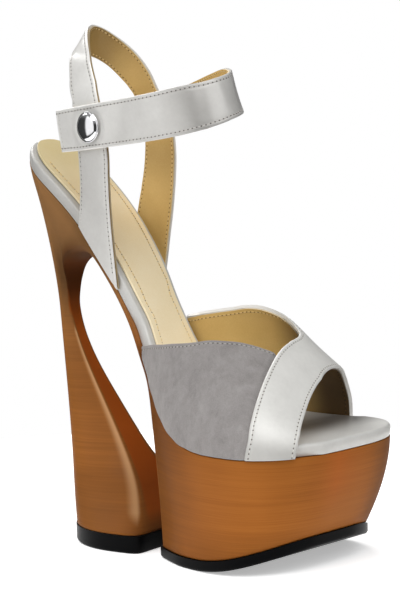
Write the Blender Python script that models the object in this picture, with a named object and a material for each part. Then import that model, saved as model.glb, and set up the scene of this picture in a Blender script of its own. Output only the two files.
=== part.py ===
"""Platform shoe for a right foot: wood-look platform and flared heel in one moulding, open toe.

The toe points along +X, the inner (medial) side of the foot is +Y, and the floor is at zero
height.  Lengths below are millimetres; x is measured from the back of the heel seat along the
floor.  Every piece is a loft whose sections come from the named sizes and short tables.
"""
import math

import bmesh
import bpy
from mathutils import Vector

MM = 0.001

# Driving sizes
CLEARANCE = 0.3
INSOLE_THICK = 5.0
SOCK_THICK = 1.0
SOCK_INSET = 3.2
SOCK_FRONT = 118.0
OUTSOLE_THICK = 4.5
OUTSOLE_LIP = 0.7
TOE_SPRING = 10.0
SPRING_START = 126.0
LIFT_THICK = 7.6
LIFT_LIP = 0.4
SEAT_BACK = 2.2
SEAT_CENTRE = 21.5
TOE_START = 150.0
TOE_TIP = 181.5
TOE_POWER = 2.6
SOLE_REAR = 98.8
SOLE_TIP = 170.0
SOLE_TOE_START = 138.0
HEEL_FRONT = 46.0
PLATFORM_REAR = 86.0
RIM_SHARE = 0.92
REAR_BULGE = 1.2
SIDE_TAPER = 1.5
BREAST_HOLLOW = 0.10
SHANK_BELLY = 3.5
SUEDE_WALL = 1.8
BAND_IN = 0.5
BAND_OUT = 2.4
SEAM_LAP = 6.0
VAMP_INSET = 1.6
ARCH_CENTRE = 2.4
ARCH_OUTER_POWER = 2.14
ARCH_INNER_POWER = 1.91
ARCH_HEIGHT_POWER = 2.0
STRAP_THICK = 2.0
SNAP_RADIUS = 6.7
SNAP_DOME = 2.6
SETTLE_STEPS = 20
CENTRE_X = 92.05
CENTRE_Y = -0.75

# Footbed and last: x, top of the wood, half widths of the feather line, shank edge thickness
FORM_COLUMNS = ("x", "bed", "lateral", "medial", "edge")
FORM = (
    (0.0, 172.2, 18.5, 18.5, 4.0),
    (20.0, 159.0, 18.5, 18.5, 4.5),
    (45.0, 138.0, 18.2, 16.5, 6.4),
    (65.0, 112.5, 17.0, 14.0, 6.6),
    (85.0, 81.5, 23.0, 13.0, 6.6),
    (95.0, 69.5, 29.0, 16.5, 5.6),
    (105.0, 61.0, 35.0, 23.0, 5.0),
    (115.0, 55.4, 40.0, 29.5, 4.4),
    (125.0, 52.0, 43.4, 35.6, 4.0),
    (140.0, 50.2, 46.2, 43.0, 3.8),
    (152.0, 50.0, 46.6, 45.0, 3.6),
    (190.0, 50.6, 46.6, 45.0, 3.6),
)

# Outsole outline behind its toe curve: x, half widths
SOLE_COLUMNS = ("x", "lateral", "medial")
SOLE = (
    (98.0, 30.0, 25.0),
    (108.0, 35.0, 30.0),
    (120.0, 40.0, 36.0),
    (138.0, 42.5, 41.0),
    (190.0, 42.5, 41.0),
)

# Heel below its neck: height, back and front of the section, half width, run of the widest place
# and half width of the front corner, both as shares
HEEL_COLUMNS = ("z", "back", "front", "half", "widest", "corner")
HEEL = (
    (101.0, 13.0, 20.8, 4.5, 0.50, 0.71),
    (90.0, 13.9, 23.6, 5.0, 0.48, 0.60),
    (76.0, 15.6, 30.8, 6.7, 0.46, 0.52),
    (61.0, 17.9, 41.6, 9.7, 0.44, 0.51),
    (47.0, 20.0, 51.6, 12.7, 0.44, 0.51),
    (34.0, 22.7, 61.0, 17.2, 0.46, 0.50),
    (24.0, 25.6, 70.0, 22.8, 0.50, 0.60),
    (15.0, 29.0, 80.0, 30.0, 0.58, 0.81),
    (7.9, 32.4, 88.5, 36.6, 0.66, 0.92),
)

# Crown of the vamp above the floor
CROWN_COLUMNS = ("x", "z")
CROWN = (
    (60.0, 165.0),
    (75.0, 150.0),
    (90.0, 138.0),
    (105.0, 124.0),
    (120.0, 112.0),
    (130.0, 105.0),
    (140.0, 94.7),
    (150.0, 85.8),
    (160.0, 77.7),
    (170.0, 69.7),
    (178.0, 63.4),
    (190.0, 54.0),
)

# Leather band over the toes: angle round the foot from the outer side, its rear and front edge
BAND_COLUMNS = ("angle", "rear", "front")
BAND = (
    (0.0, 161.0, 175.7),
    (13.0, 161.4, 175.8),
    (30.0, 159.6, 175.2),
    (44.0, 157.0, 173.8),
    (58.0, 153.5, 171.5),
    (70.5, 149.9, 168.3),
    (80.0, 147.1, 165.4),
    (92.0, 144.3, 161.5),
    (100.0, 143.0, 159.2),
    (112.0, 138.5, 156.4),
    (123.0, 120.4, 153.9),
    (134.0, 108.8, 150.9),
    (143.0, 101.1, 148.8),
    (152.0, 93.4, 147.6),
    (163.0, 84.8, 147.0),
    (173.0, 78.5, 146.2),
    (180.0, 76.0, 146.0),
)

# Suede side panel: x along its top edge and the angle it climbs to
SUEDE_COLUMNS = ("x", "top")
SUEDE = (
    (84.0, 5.5),
    (93.8, 17.8),
    (108.6, 32.5),
    (118.0, 40.9),
    (125.4, 48.3),
    (132.0, 55.8),
    (138.0, 66.1),
    (143.0, 73.5),
    (147.5, 78.4),
    (170.0, 78.4),
)

# Back strap: its front and its back edge, from the outer side of the sole round to the inner
STRAP_COLUMNS = ("front_x", "front_y", "front_z", "back_x", "back_y", "back_z")
STRAP = (
    (66.6, -17.9, 112.0, 44.6, -18.9, 139.4),
    (67.2, -19.6, 131.0, 48.2, -20.0, 150.0),
    (68.0, -21.6, 146.0, 50.4, -21.6, 158.5),
    (69.2, -23.2, 160.0, 51.8, -23.2, 167.0),
    (70.4, -24.4, 173.0, 52.4, -24.4, 175.0),
    (69.0, -25.2, 185.0, 52.2, -25.2, 185.0),
    (66.0, -24.6, 196.0, 50.0, -24.6, 194.2),
    (60.4, -21.6, 207.0, 46.2, -21.6, 204.4),
    (52.2, -15.4, 217.4, 41.0, -16.0, 212.8),
    (43.4, -6.0, 226.2, 36.4, -6.6, 215.0),
    (40.0, 3.0, 227.0, 35.6, 3.2, 213.2),
    (43.0, 10.4, 222.2, 36.8, 11.0, 208.8),
    (48.0, 16.4, 215.0, 38.8, 16.8, 203.0),
    (52.0, 20.6, 206.4, 40.0, 20.8, 198.6),
    (55.2, 23.4, 196.6, 41.0, 23.4, 193.4),
    (60.0, 24.6, 185.0, 43.4, 24.6, 184.0),
    (63.2, 24.0, 173.0, 45.2, 24.0, 174.0),
    (64.6, 21.6, 157.4, 45.6, 21.6, 159.0),
    (64.2, 18.4, 136.0, 45.0, 19.2, 149.0),
    (63.0, 15.2, 116.6, 44.4, 17.4, 139.6),
)

# Ankle band: its upper and its lower edge, from the snap tab round the front to the inner side
ANKLE_COLUMNS = ("top_x", "top_y", "top_z", "low_x", "low_y", "low_z")
ANKLE = (
    (41.5, -26.2, 191.0, 44.5, -26.2, 172.8),
    (54.0, -26.8, 192.6, 58.0, -26.8, 173.8),
    (67.0, -27.0, 194.2, 72.0, -27.0, 175.2),
    (86.0, -26.2, 196.6, 90.5, -26.4, 177.2),
    (99.0, -24.4, 198.6, 106.0, -24.6, 179.2),
    (110.6, -19.8, 200.8, 119.0, -20.0, 181.8),
    (117.6, -13.0, 202.4, 125.0, -13.4, 184.2),
    (119.4, -5.0, 204.6, 125.6, -5.2, 186.6),
    (115.2, 3.6, 206.4, 121.4, 3.6, 188.0),
    (104.6, 11.4, 207.2, 110.4, 11.6, 188.0),
    (91.6, 17.6, 205.0, 97.0, 17.8, 185.8),
    (76.0, 22.6, 201.2, 80.6, 22.8, 182.0),
    (60.0, 25.8, 197.2, 64.6, 26.0, 178.4),
    (44.0, 26.0, 195.4, 46.6, 26.2, 176.2),
    (36.0, 24.8, 194.6, 38.0, 25.0, 175.6),
)
SNAP_AT = 0.112

STATIONS_MID = (25, 31.5, 38.5, 46, 54, 62, 70, 75, 78, 82, 86, 92, 98, 105, 112, 120, 128, 136, 144, 149)
STATIONS_TOE = (152.5, 158, 164, 169, 173, 176, 178.5, 180.3, 181.2)
SEAT_ANGLES = (14, 31, 48, 66, 82)


def smooth(table, name, columns, x):
    """Monotone cubic through one column of a table whose first column is the run."""
    k = columns.index(name)
    xs = [row[0] for row in table]
    ys = [row[k] for row in table]
    if x <= xs[0]:
        return ys[0]
    if x >= xs[-1]:
        return ys[-1]
    n = len(xs)
    step = [xs[i + 1] - xs[i] for i in range(n - 1)]
    rise = [(ys[i + 1] - ys[i]) / step[i] for i in range(n - 1)]
    lean = [rise[0]]
    for i in range(1, n - 1):
        if rise[i - 1] * rise[i] <= 0:
            lean.append(0.0)
        else:
            a = 2 * step[i] + step[i - 1]
            b = step[i] + 2 * step[i - 1]
            lean.append((a + b) / (a / rise[i - 1] + b / rise[i]))
    lean.append(rise[-1])
    i = max(j for j in range(n - 1) if xs[j] <= x)
    t = (x - xs[i]) / step[i]
    h1 = (1 + 2 * t) * (1 - t) ** 2
    h2 = t * (1 - t) ** 2
    h3 = t * t * (3 - 2 * t)
    h4 = t * t * (t - 1)
    return h1 * ys[i] + h2 * step[i] * lean[i] + h3 * ys[i + 1] + h4 * step[i] * lean[i + 1]


def form(name, x):
    return smooth(FORM, name, FORM_COLUMNS, x)


def bed(x):
    return form("bed", x)


def ramp(x, low, high):
    return min(1.0, max(0.0, (x - low) / (high - low)))


def half_width(side, x):
    """Feather line: rounded at the seat, superellipse at the toe."""
    width = form(side, x)
    if x < SEAT_CENTRE:
        share = (SEAT_CENTRE - x) / (SEAT_CENTRE - SEAT_BACK)
        return width * math.sqrt(max(0.0, 1 - share * share))
    if x > TOE_START:
        share = min(1.0, (x - TOE_START) / (TOE_TIP - TOE_START))
        return width * (1 - share ** TOE_POWER) ** (1 / TOE_POWER)
    return width


def feather(side, x, grow=0.0):
    """A point of the feather line pushed outwards by grow, as (x, y)."""
    sign = -1.0 if side == "lateral" else 1.0
    y = half_width(side, x)
    if x < SEAT_CENTRE:
        scale = 1 + grow / form(side, x)
        return SEAT_CENTRE - (SEAT_CENTRE - x) * scale, sign * y * scale
    if x > TOE_START:
        along = 1 + grow / (TOE_TIP - TOE_START)
        across = 1 + grow / form(side, x)
        return TOE_START + (x - TOE_START) * along, sign * y * across
    return x, sign * (y + grow)


def stations():
    radius = SEAT_CENTRE - SEAT_BACK
    seat = [SEAT_CENTRE - radius * math.cos(math.radians(a)) for a in SEAT_ANGLES]
    return seat + list(STATIONS_MID) + list(STATIONS_TOE)


def above_bed(x, y, height, at):
    """A point over the footbed at run `at`, leaning square to it except at the back of the seat."""
    slope = (bed(at + 0.5) - bed(at - 0.5)) if at > 0.5 else bed(1.0) - bed(0.0)
    lean = math.atan(-slope) * ramp(at, 0.0, 30.0)
    return Vector((x + height * math.sin(lean), y, bed(at) + height * math.cos(lean)))


def new_object(name, mesh, material):
    """Turn a finished mesh, drawn in millimetres, into a named object."""
    bmesh.ops.scale(mesh, vec=(MM, MM, MM), verts=mesh.verts[:])
    bmesh.ops.recalc_face_normals(mesh, faces=mesh.faces[:])
    data = bpy.data.meshes.new(name)
    mesh.to_mesh(data)
    mesh.free()
    data.materials.append(material)
    made = bpy.data.objects.new(name, data)
    bpy.context.scene.collection.objects.link(made)
    return made


def material(name, colour, roughness, metallic=0.0):
    made = bpy.data.materials.new(name)
    made.use_nodes = True
    shader = made.node_tree.nodes["Principled BSDF"]
    shader.inputs["Base Color"].default_value = (*colour, 1.0)
    shader.inputs["Roughness"].default_value = roughness
    shader.inputs["Metallic"].default_value = metallic
    return made


def add_ring(mesh, points):
    return [mesh.verts.new(p) for p in points]


def bridge(mesh, first, second):
    """Quads between two closed rings with the same number of points."""
    n = len(first)
    for i in range(n):
        j = (i + 1) % n
        mesh.faces.new((first[i], first[j], second[j], second[i]))


def cap(mesh, ring, pairs):
    """Close a ring whose first `pairs` points face its last `pairs` points in reverse."""
    n = len(ring)
    for i in range(pairs - 1):
        mesh.faces.new((ring[i], ring[i + 1], ring[n - 2 - i], ring[n - 1 - i]))
    if n > 2 * pairs:
        mesh.faces.new(ring[pairs - 1:n - pairs + 1])


def mix(a, b, t):
    return a + (b - a) * t


def spring(x):
    """Height of the worn face of the outsole: flat, then curling up to the toe."""
    t = ramp(x, SPRING_START, SOLE_TIP)
    return TOE_SPRING * t * t


def sole_half(side, x):
    width = smooth(SOLE, side, SOLE_COLUMNS, x)
    if x > SOLE_TOE_START:
        share = min(1.0, (x - SOLE_TOE_START) / (SOLE_TIP + 0.4 - SOLE_TOE_START))
        return width * (1 - share ** 2.5) ** (1 / 2.5)
    return width


def sole_point(side, x, grow=0.0):
    """Outsole outline under run x of the platform top, as (x, y)."""
    sign = -1.0 if side == "lateral" else 1.0
    share = (x - PLATFORM_REAR) / (STATIONS_TOE[-1] - PLATFORM_REAR)
    at = mix(SOLE_REAR, SOLE_TIP, share)
    y = sole_half(side, at)
    stretch = 1 + 2 * grow / (SOLE_TIP - SOLE_REAR)
    middle = 0.5 * (SOLE_TIP + SOLE_REAR)
    return middle + (at - middle) * stretch, sign * y * (1 + grow / 42.0)


def platform_point(side, x, level):
    """A point of the platform wall; level is 0 at the outsole and 1 at the feather line."""
    top_x, top_y = feather(side, x)
    low_x, low_y = sole_point(side, x)
    low_z = OUTSOLE_THICK + CLEARANCE + spring(low_x)
    rear = 1 - ramp(x, PLATFORM_REAR, 130.0)
    swell = mix(1 - (1 - level) ** 1.8, level ** 1.4, rear)
    z = mix(low_z, bed(x), level)
    return Vector((mix(low_x, top_x, swell), mix(low_y, top_y, swell), z))


def section_share(c, widest, corner):
    """Half width of a heel section as a share, from its round back to its front corner."""
    if c < widest:
        return math.sqrt(1 - 0.97 * (1 - c / widest) ** 2)
    return 1 - (1 - corner) * ((c - widest) / (1 - widest)) ** SIDE_TAPER


ACROSS = 6


def heel_ring(z, back, front, half, widest, corner, runs):
    """One level heel section: outer side from back to front, across the hollow breast, inner side."""
    span = runs[-1] - runs[0]
    share = [(x - runs[0]) / span for x in runs]
    outer = [Vector((mix(back, front, c), -half * section_share(c, widest, corner), z)) for c in share]
    inner = [Vector((p.x, -p.y, z)) for p in reversed(outer)]
    edge = outer[-1].y
    front_row = []
    for j in range(1, ACROSS):
        y = mix(edge, -edge, j / ACROSS)
        hollow = BREAST_HOLLOW * abs(edge) * (1 - (y / edge) ** 2)
        front_row.append(Vector((front - hollow, y, z)))
    return outer + front_row + inner


def under_row(low_outer, low_inner, belly):
    """Points across the underside of the shank between its two lower edges."""
    row = []
    for j in range(1, ACROSS):
        t = j / ACROSS
        p = low_outer.lerp(low_inner, t)
        drop = belly * 4 * t * (1 - t)
        row.append(Vector((p.x - 0.7 * drop, p.y, p.z - 0.7 * drop)))
    return row


def build_unit(finish):
    """Platform, shank and heel as one closed moulding."""
    mesh = bmesh.new()
    runs = stations()
    last = len(runs) - 1
    heel_end = runs.index(HEEL_FRONT)
    toe_begin = runs.index(PLATFORM_REAR)
    top = {}
    low = {}
    low_at = {}
    for side in ("lateral", "medial"):
        top[side] = []
        low_at[side] = []
        for i, x in enumerate(runs):
            px, py = feather(side, x)
            top[side].append(mesh.verts.new((px, py, bed(x))))
            if i >= toe_begin:
                low_at[side].append(platform_point(side, x, RIM_SHARE))
            else:
                qx, qy = feather(side, x, -0.5)
                low_at[side].append(Vector((qx, qy, bed(x) - form("edge", x))))
        low[side] = [mesh.verts.new(p) for p in low_at[side]]
    rows = {}
    for i in range(heel_end, toe_begin + 1):
        points = under_row(low_at["lateral"][i], low_at["medial"][i], SHANK_BELLY)
        rows[i] = [low["lateral"][i]] + add_ring(mesh, points) + [low["medial"][i]]
    for i in range(last):
        a, b = top["lateral"], top["medial"]
        mesh.faces.new((a[i], a[i + 1], b[i + 1], b[i]))
        for side in ("lateral", "medial"):
            u, v = top[side], low[side]
            mesh.faces.new((u[i], u[i + 1], v[i + 1], v[i]))
    for i in (0, last):
        mesh.faces.new((top["lateral"][i], low["lateral"][i], low["medial"][i], top["medial"][i]))
    for i in range(heel_end, toe_begin):
        for j in range(ACROSS):
            mesh.faces.new((rows[i][j], rows[i][j + 1], rows[i + 1][j + 1], rows[i + 1][j]))
    build_heel_leg(mesh, runs[:heel_end + 1], low, low_at, rows[heel_end], heel_end)
    build_platform_leg(mesh, runs, low, rows[toe_begin], toe_begin)
    return new_object("platform_heel_unit", mesh, finish)


def build_heel_leg(mesh, runs, low, low_at, front_row, heel_end):
    """Walls of the heel: a funnel from the seat down to the neck, then the flare to its foot."""
    ring = low["lateral"][:heel_end + 1] + front_row[1:-1] + low["medial"][heel_end::-1]
    start = [v.co.copy() for v in ring]
    neck = heel_ring(*HEEL[0], runs)
    count = len(runs)
    previous = ring
    steps = 7
    for k in range(1, steps):
        s = k / steps
        points = []
        for i, p in enumerate(start):
            if i < count:
                c = i / (count - 1)
            elif i >= len(start) - count:
                c = (len(start) - 1 - i) / (count - 1)
            else:
                c = 1.0
            side = 1 - (1 - s) ** 1.5
            back = s
            fore = 1 - (1 - s) ** 7
            pull_x = mix(back, fore, c * c)
            pull_y = mix(side, 1 - (1 - s) ** 2.2, c)
            q = neck[i]
            points.append(Vector((mix(p.x, q.x, pull_x), mix(p.y, q.y, pull_y), mix(p.z, q.z, s))))
        made = add_ring(mesh, points)
        bridge(mesh, previous, made)
        previous = made
    for row in HEEL:
        made = add_ring(mesh, heel_ring(*row, runs))
        bridge(mesh, previous, made)
        previous = made
    cap(mesh, previous, count - 1)


def platform_ring(runs, begin, level):
    """One platform section: outer side from rear to toe, inner side back, then across the rear."""
    outer = [platform_point("lateral", x, level) for x in runs[begin:]]
    inner = [platform_point("medial", x, level) for x in reversed(runs[begin:])]
    rear = []
    for j in range(1, ACROSS):
        t = j / ACROSS
        p = inner[-1].lerp(outer[0], t)
        bulge = REAR_BULGE * 4 * t * (1 - t) * (1 - level)
        rear.append(Vector((p.x - bulge, p.y, p.z)))
    return outer + inner + rear


def build_platform_leg(mesh, runs, low, rear_row, begin):
    """Walls of the platform from under its rim down to the outsole."""
    ring = low["lateral"][begin:] + low["medial"][:begin - 1:-1] + rear_row[-2:0:-1]
    previous = ring
    for level in (0.8, 0.62, 0.44, 0.27, 0.12, 0.0):
        made = add_ring(mesh, platform_ring(runs, begin, level))
        bridge(mesh, previous, made)
        previous = made
    pairs = len(runs) - begin
    for i in range(pairs - 1):
        j = 2 * pairs - 1 - i
        mesh.faces.new((previous[i], previous[i + 1], previous[j - 1], previous[j]))
    mesh.faces.new([previous[0]] + previous[:2 * pairs - 2:-1])


def build_outsole(finish):
    """Rubber forefoot sole with toe spring."""
    mesh = bmesh.new()
    runs = [x for x in stations() if x >= PLATFORM_REAR]
    rings = []
    for height, grow in ((0.0, OUTSOLE_LIP - 0.7), (0.9, OUTSOLE_LIP), (OUTSOLE_THICK, OUTSOLE_LIP)):
        outer = []
        inner = []
        for side, row in (("lateral", outer), ("medial", inner)):
            for x in runs:
                px, py = sole_point(side, x, grow)
                row.append(Vector((px, py, height + spring(px))))
        inner.reverse()
        rear = []
        for j in range(1, ACROSS):
            t = j / ACROSS
            p = inner[-1].lerp(outer[0], t)
            rear.append(Vector((p.x - REAR_BULGE * 4 * t * (1 - t), p.y, height)))
        rings.append(add_ring(mesh, outer + inner + rear))
    for a, b in zip(rings, rings[1:]):
        bridge(mesh, a, b)
    pairs = len(runs)
    for ring in (rings[0], rings[-1]):
        for i in range(pairs - 1):
            j = 2 * pairs - 1 - i
            mesh.faces.new((ring[i], ring[i + 1], ring[j - 1], ring[j]))
        mesh.faces.new([ring[0]] + ring[:2 * pairs - 2:-1])
    return new_object("outsole", mesh, finish)


def build_lift(finish):
    """Rubber top lift under the heel."""
    mesh = bmesh.new()
    runs = [x for x in stations() if x <= HEEL_FRONT]
    z, back, front, half, widest, corner = HEEL[-1]
    rings = []
    for height, grow in ((0.0, LIFT_LIP - 0.7), (0.9, LIFT_LIP), (LIFT_THICK, LIFT_LIP)):
        section = (height, back - grow, front + grow, half + grow, widest, corner)
        rings.append(add_ring(mesh, heel_ring(*section, runs)))
    for a, b in zip(rings, rings[1:]):
        bridge(mesh, a, b)
    cap(mesh, rings[0], len(runs) - 1)
    cap(mesh, rings[-1], len(runs) - 1)
    return new_object("heel_top_lift", mesh, finish)


def insole_grow(side, x):
    """The board fills the feather line, and stands back where the vamp wraps round it."""
    rear, front = (75.0, 178.5) if side == "lateral" else (70.0, 150.0)
    inside = ramp(x, rear - 4.0, rear) * (1 - ramp(x, front, front + 1.8))
    return mix(0.3, -2.1, inside)


def bed_plate(name, runs, layers, grow, finish):
    """A plate bent along the footbed; layers are (height, inset) from its underside up."""
    mesh = bmesh.new()
    rings = []
    for height, inset in layers:
        outer = []
        inner = []
        for side, row in (("lateral", outer), ("medial", inner)):
            for x in runs:
                px, py = feather(side, x, grow(side, x) - inset)
                row.append(above_bed(px, py, height, x))
        rings.append(add_ring(mesh, outer + inner[::-1]))
    for a, b in zip(rings, rings[1:]):
        bridge(mesh, a, b)
    cap(mesh, rings[0], len(runs))
    cap(mesh, rings[-1], len(runs))
    return new_object(name, mesh, finish)


def build_insole(finish):
    base = CLEARANCE
    layers = ((base, 0.4), (base + 2.4, 0.0), (base + 4.2, 0.3), (base + INSOLE_THICK, 1.1))
    return bed_plate("insole_board", stations(), layers, insole_grow, finish)


def build_sock(finish):
    base = CLEARANCE + INSOLE_THICK + CLEARANCE
    runs = [x for x in stations() if x < SOCK_FRONT] + [SOCK_FRONT]

    def grow(side, x):
        return insole_grow(side, x) - SOCK_INSET

    return bed_plate("insole_sock", runs, ((base, 0.0), (base + SOCK_THICK, 0.2)), grow, finish)


def arch(x, angle):
    """Inner face of the vamp: a rounded arch over the footbed, angle 0 at the outer side."""
    c = math.cos(math.radians(angle))
    s = max(0.0, math.sin(math.radians(angle)))
    base = bed(x) + 0.4 + 0.25 * abs(bed(x + 0.5) - bed(x - 0.5))
    height = smooth(CROWN, "z", CROWN_COLUMNS, x) - base
    if c > 0:
        width = half_width("lateral", x) - VAMP_INSET + ARCH_CENTRE
        power = ARCH_OUTER_POWER
    else:
        width = half_width("medial", x) - VAMP_INSET - ARCH_CENTRE
        power = ARCH_INNER_POWER
    y = ARCH_CENTRE - math.copysign(width * abs(c) ** (2 / power), c)
    return Vector((x, y, base + height * s ** (2 / ARCH_HEIGHT_POWER)))


def arch_normal(x, angle):
    low = max(0.0, angle - 1.0)
    high = min(180.0, angle + 1.0)
    round_foot = arch(x, high) - arch(x, low)
    along = arch(x + 0.5, angle) - arch(x - 0.5, angle)
    normal = along.cross(round_foot)
    normal.z = max(normal.z, 0.0)
    steep_foot = (1 - ramp(x, 110.0, 140.0)) * (1 - ramp(min(angle, 180.0 - angle), 0.0, 25.0))
    normal.x *= 1 - steep_foot
    normal.normalize()
    return normal


def shell(mesh, grid, inner, outer):
    """Close a grid of (x, angle) pairs into a wall between two offsets of the arch."""
    def layer(offset):
        rows = []
        for row in grid:
            rows.append([mesh.verts.new(arch(x, a) + offset * arch_normal(x, a)) for x, a in row])
        return rows
    below = layer(inner)
    above = layer(outer)
    n, m = len(grid), len(grid[0])
    for i in range(n - 1):
        for j in range(m - 1):
            for face in (below, above):
                mesh.faces.new((face[i][j], face[i + 1][j], face[i + 1][j + 1], face[i][j + 1]))
    for i in range(n - 1):
        for j in (0, m - 1):
            mesh.faces.new((below[i][j], below[i + 1][j], above[i + 1][j], above[i][j]))
    for j in range(m - 1):
        for i in (0, n - 1):
            mesh.faces.new((below[i][j], below[i][j + 1], above[i][j + 1], above[i][j]))


def band_edge(name, angle):
    return smooth(BAND, name, BAND_COLUMNS, angle)


def suede_top(share):
    """Angle of the top edge of the suede at a share of its length; its run depends on the angle."""
    angle = SUEDE[0][1]
    for _ in range(SETTLE_STEPS):
        x = mix(SUEDE[0][0], band_edge("rear", angle) + SEAM_LAP, share)
        angle = smooth(SUEDE, "top", SUEDE_COLUMNS, x)
    return angle


def build_vamp(finish):
    """Upper over the toes: suede side panel lapped under a leather band."""
    band = bmesh.new()
    grid = []
    for k in range(33):
        angle = 180.0 * k / 32
        rear, front = band_edge("rear", angle), band_edge("front", angle)
        pieces = 8
        grid.append([(mix(rear, front, j / pieces), angle) for j in range(pieces + 1)])
    shell(band, grid, BAND_IN, BAND_OUT)
    made = new_object("vamp", band, finish)

    panel = bmesh.new()
    begin = SUEDE[0][0]
    grid = []
    for i in range(23):
        s = i / 22
        top = suede_top(s)
        row = []
        for j in range(11):
            angle = top * j / 10
            row.append((mix(begin, band_edge("rear", angle) + SEAM_LAP, s), angle))
        grid.append(row)
    shell(panel, grid, 0.0, SUEDE_WALL)
    side = new_object("vamp_side_panel_cutter", panel, finish)
    side.hide_render = True
    side.display_type = "WIRE"
    join = made.modifiers.new("side panel", "BOOLEAN")
    join.operation = "UNION"
    join.solver = "EXACT"
    join.object = side
    return made


def spline(table, t):
    """Point on a smooth curve through the table rows; t runs from 0 to 1."""
    n = len(table) - 1
    place = min(t, 0.999999) * n
    i = int(place)
    u = place - i
    p0 = table[max(i - 1, 0)]
    p1 = table[i]
    p2 = table[i + 1]
    p3 = table[min(i + 2, n)]
    out = []
    for a, b, c, d in zip(p0, p1, p2, p3):
        out.append(0.5 * (2 * b + (c - a) * u + (2 * a - 5 * b + 4 * c - d) * u * u
                          + (3 * b - a - 3 * c + d) * u ** 3))
    return Vector(out[:3]), Vector(out[3:])


def ribbon_frame(table, t, flip):
    """The two edges and the outward normal of a strap at t."""
    a, b = spline(table, t)
    before = sum(spline(table, max(t - 0.004, 0.0)), Vector((0, 0, 0)))
    after = sum(spline(table, min(t + 0.004, 1.0)), Vector((0, 0, 0)))
    normal = (after - before).cross(b - a) * flip
    normal.normalize()
    return a, b, normal


def ribbon(table, count, thick, flip, name, finish):
    """A strap: ruled between its two edge curves, with a rectangular section."""
    mesh = bmesh.new()
    rings = []
    for k in range(count + 1):
        a, b, normal = ribbon_frame(table, k / count, flip)
        m = (a + b) / 2
        crown = 0.25 * normal
        inner = [a, m + crown, b]
        outer = [b + thick * normal, m + crown + thick * normal, a + thick * normal]
        rings.append(add_ring(mesh, inner + outer))
    for a, b in zip(rings, rings[1:]):
        bridge(mesh, a, b)
    for ring in (rings[0], rings[-1]):
        mesh.faces.new((ring[0], ring[1], ring[4], ring[5]))
        mesh.faces.new((ring[1], ring[2], ring[3], ring[4]))
    return new_object(name, mesh, finish)


def build_straps(finish):
    """Back strap and ankle band, joined where they cross."""
    made = ribbon(STRAP, 60, STRAP_THICK, 1.0, "ankle_straps", finish)
    band = ribbon(ANKLE, 52, STRAP_THICK, -1.0, "ankle_band_cutter", finish)
    band.hide_render = True
    band.display_type = "WIRE"
    join = made.modifiers.new("ankle band", "BOOLEAN")
    join.operation = "UNION"
    join.solver = "EXACT"
    join.object = band
    return made


def build_snap(finish):
    """Domed cap of the closing snap on the outer side."""
    mesh = bmesh.new()
    a, b, normal = ribbon_frame(ANKLE, SNAP_AT, -1.0)
    centre = (a + b) / 2 + (STRAP_THICK + 0.25 + CLEARANCE + 0.15) * normal
    up = (a - b).normalized()
    across = normal.cross(up)
    profile = ((0.90, 0.0), (1.0, 0.35), (1.0, 0.8), (0.86, 1.15), (0.72, 0.30 * SNAP_DOME + 0.75),
               (0.48, 0.86 * SNAP_DOME), (0.22, 0.98 * SNAP_DOME))
    rings = []
    for share, height in profile:
        ring = []
        for k in range(28):
            turn = 2 * math.pi * k / 28
            r = SNAP_RADIUS * share
            ring.append(centre + up * r * math.cos(turn) + across * r * math.sin(turn) + normal * height)
        rings.append(add_ring(mesh, ring))
    for first, second in zip(rings, rings[1:]):
        bridge(mesh, first, second)
    mesh.faces.new(rings[0])
    mesh.faces.new(rings[-1])
    return new_object("snap_cap", mesh, finish)


def main():
    for old in list(bpy.data.objects):
        bpy.data.objects.remove(old)
    wood = material("wood_look_satin", (0.34, 0.17, 0.075), 0.42)
    rubber = material("black_rubber", (0.015, 0.015, 0.016), 0.5)
    silver = material("silver_leather", (0.62, 0.61, 0.58), 0.38, 0.2)
    tan = material("tan_lining", (0.66, 0.48, 0.24), 0.6)
    chrome = material("polished_metal", (0.82, 0.82, 0.83), 0.14, 1.0)
    made = [
        build_unit(wood),
        build_outsole(rubber),
        build_lift(rubber),
        build_insole(silver),
        build_sock(tan),
        build_vamp(silver),
        build_straps(silver),
        build_snap(chrome),
    ]
    middle = bpy.data.objects.new("shoe", None)
    bpy.context.scene.collection.objects.link(middle)
    middle.location = (-CENTRE_X * MM, -CENTRE_Y * MM, 0.0)
    for piece in bpy.data.objects:
        if piece is not middle:
            piece.parent = middle
    return made


main()
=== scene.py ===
# %% [markdown]
# # A platform shoe for a right foot
# This lesson dresses the imported solids of a high platform shoe.  The solids give the place and
# the main form of every piece.  Here each one becomes the real thing: stained wood-look moulding,
# rubber, pearl leather, suede, lining, thread and polished metal.  The solids are loaded first.

# %% Load the solids
import math
from bisect import bisect_right
from functools import lru_cache

import bmesh
import bpy
from mathutils import Matrix, Vector


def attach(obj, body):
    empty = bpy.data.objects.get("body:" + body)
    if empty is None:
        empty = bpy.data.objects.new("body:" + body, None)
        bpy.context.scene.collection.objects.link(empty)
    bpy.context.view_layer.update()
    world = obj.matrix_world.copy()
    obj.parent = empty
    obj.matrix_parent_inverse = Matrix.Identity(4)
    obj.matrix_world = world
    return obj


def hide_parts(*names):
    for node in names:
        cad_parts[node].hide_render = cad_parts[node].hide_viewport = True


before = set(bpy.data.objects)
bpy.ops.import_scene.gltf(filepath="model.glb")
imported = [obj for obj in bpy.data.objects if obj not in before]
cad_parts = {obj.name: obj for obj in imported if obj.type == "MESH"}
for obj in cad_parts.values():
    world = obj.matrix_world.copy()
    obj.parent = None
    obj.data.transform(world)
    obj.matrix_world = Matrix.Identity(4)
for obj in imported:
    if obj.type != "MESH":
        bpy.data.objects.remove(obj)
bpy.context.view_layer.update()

print("solids:", ", ".join(sorted(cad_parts)))

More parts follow.
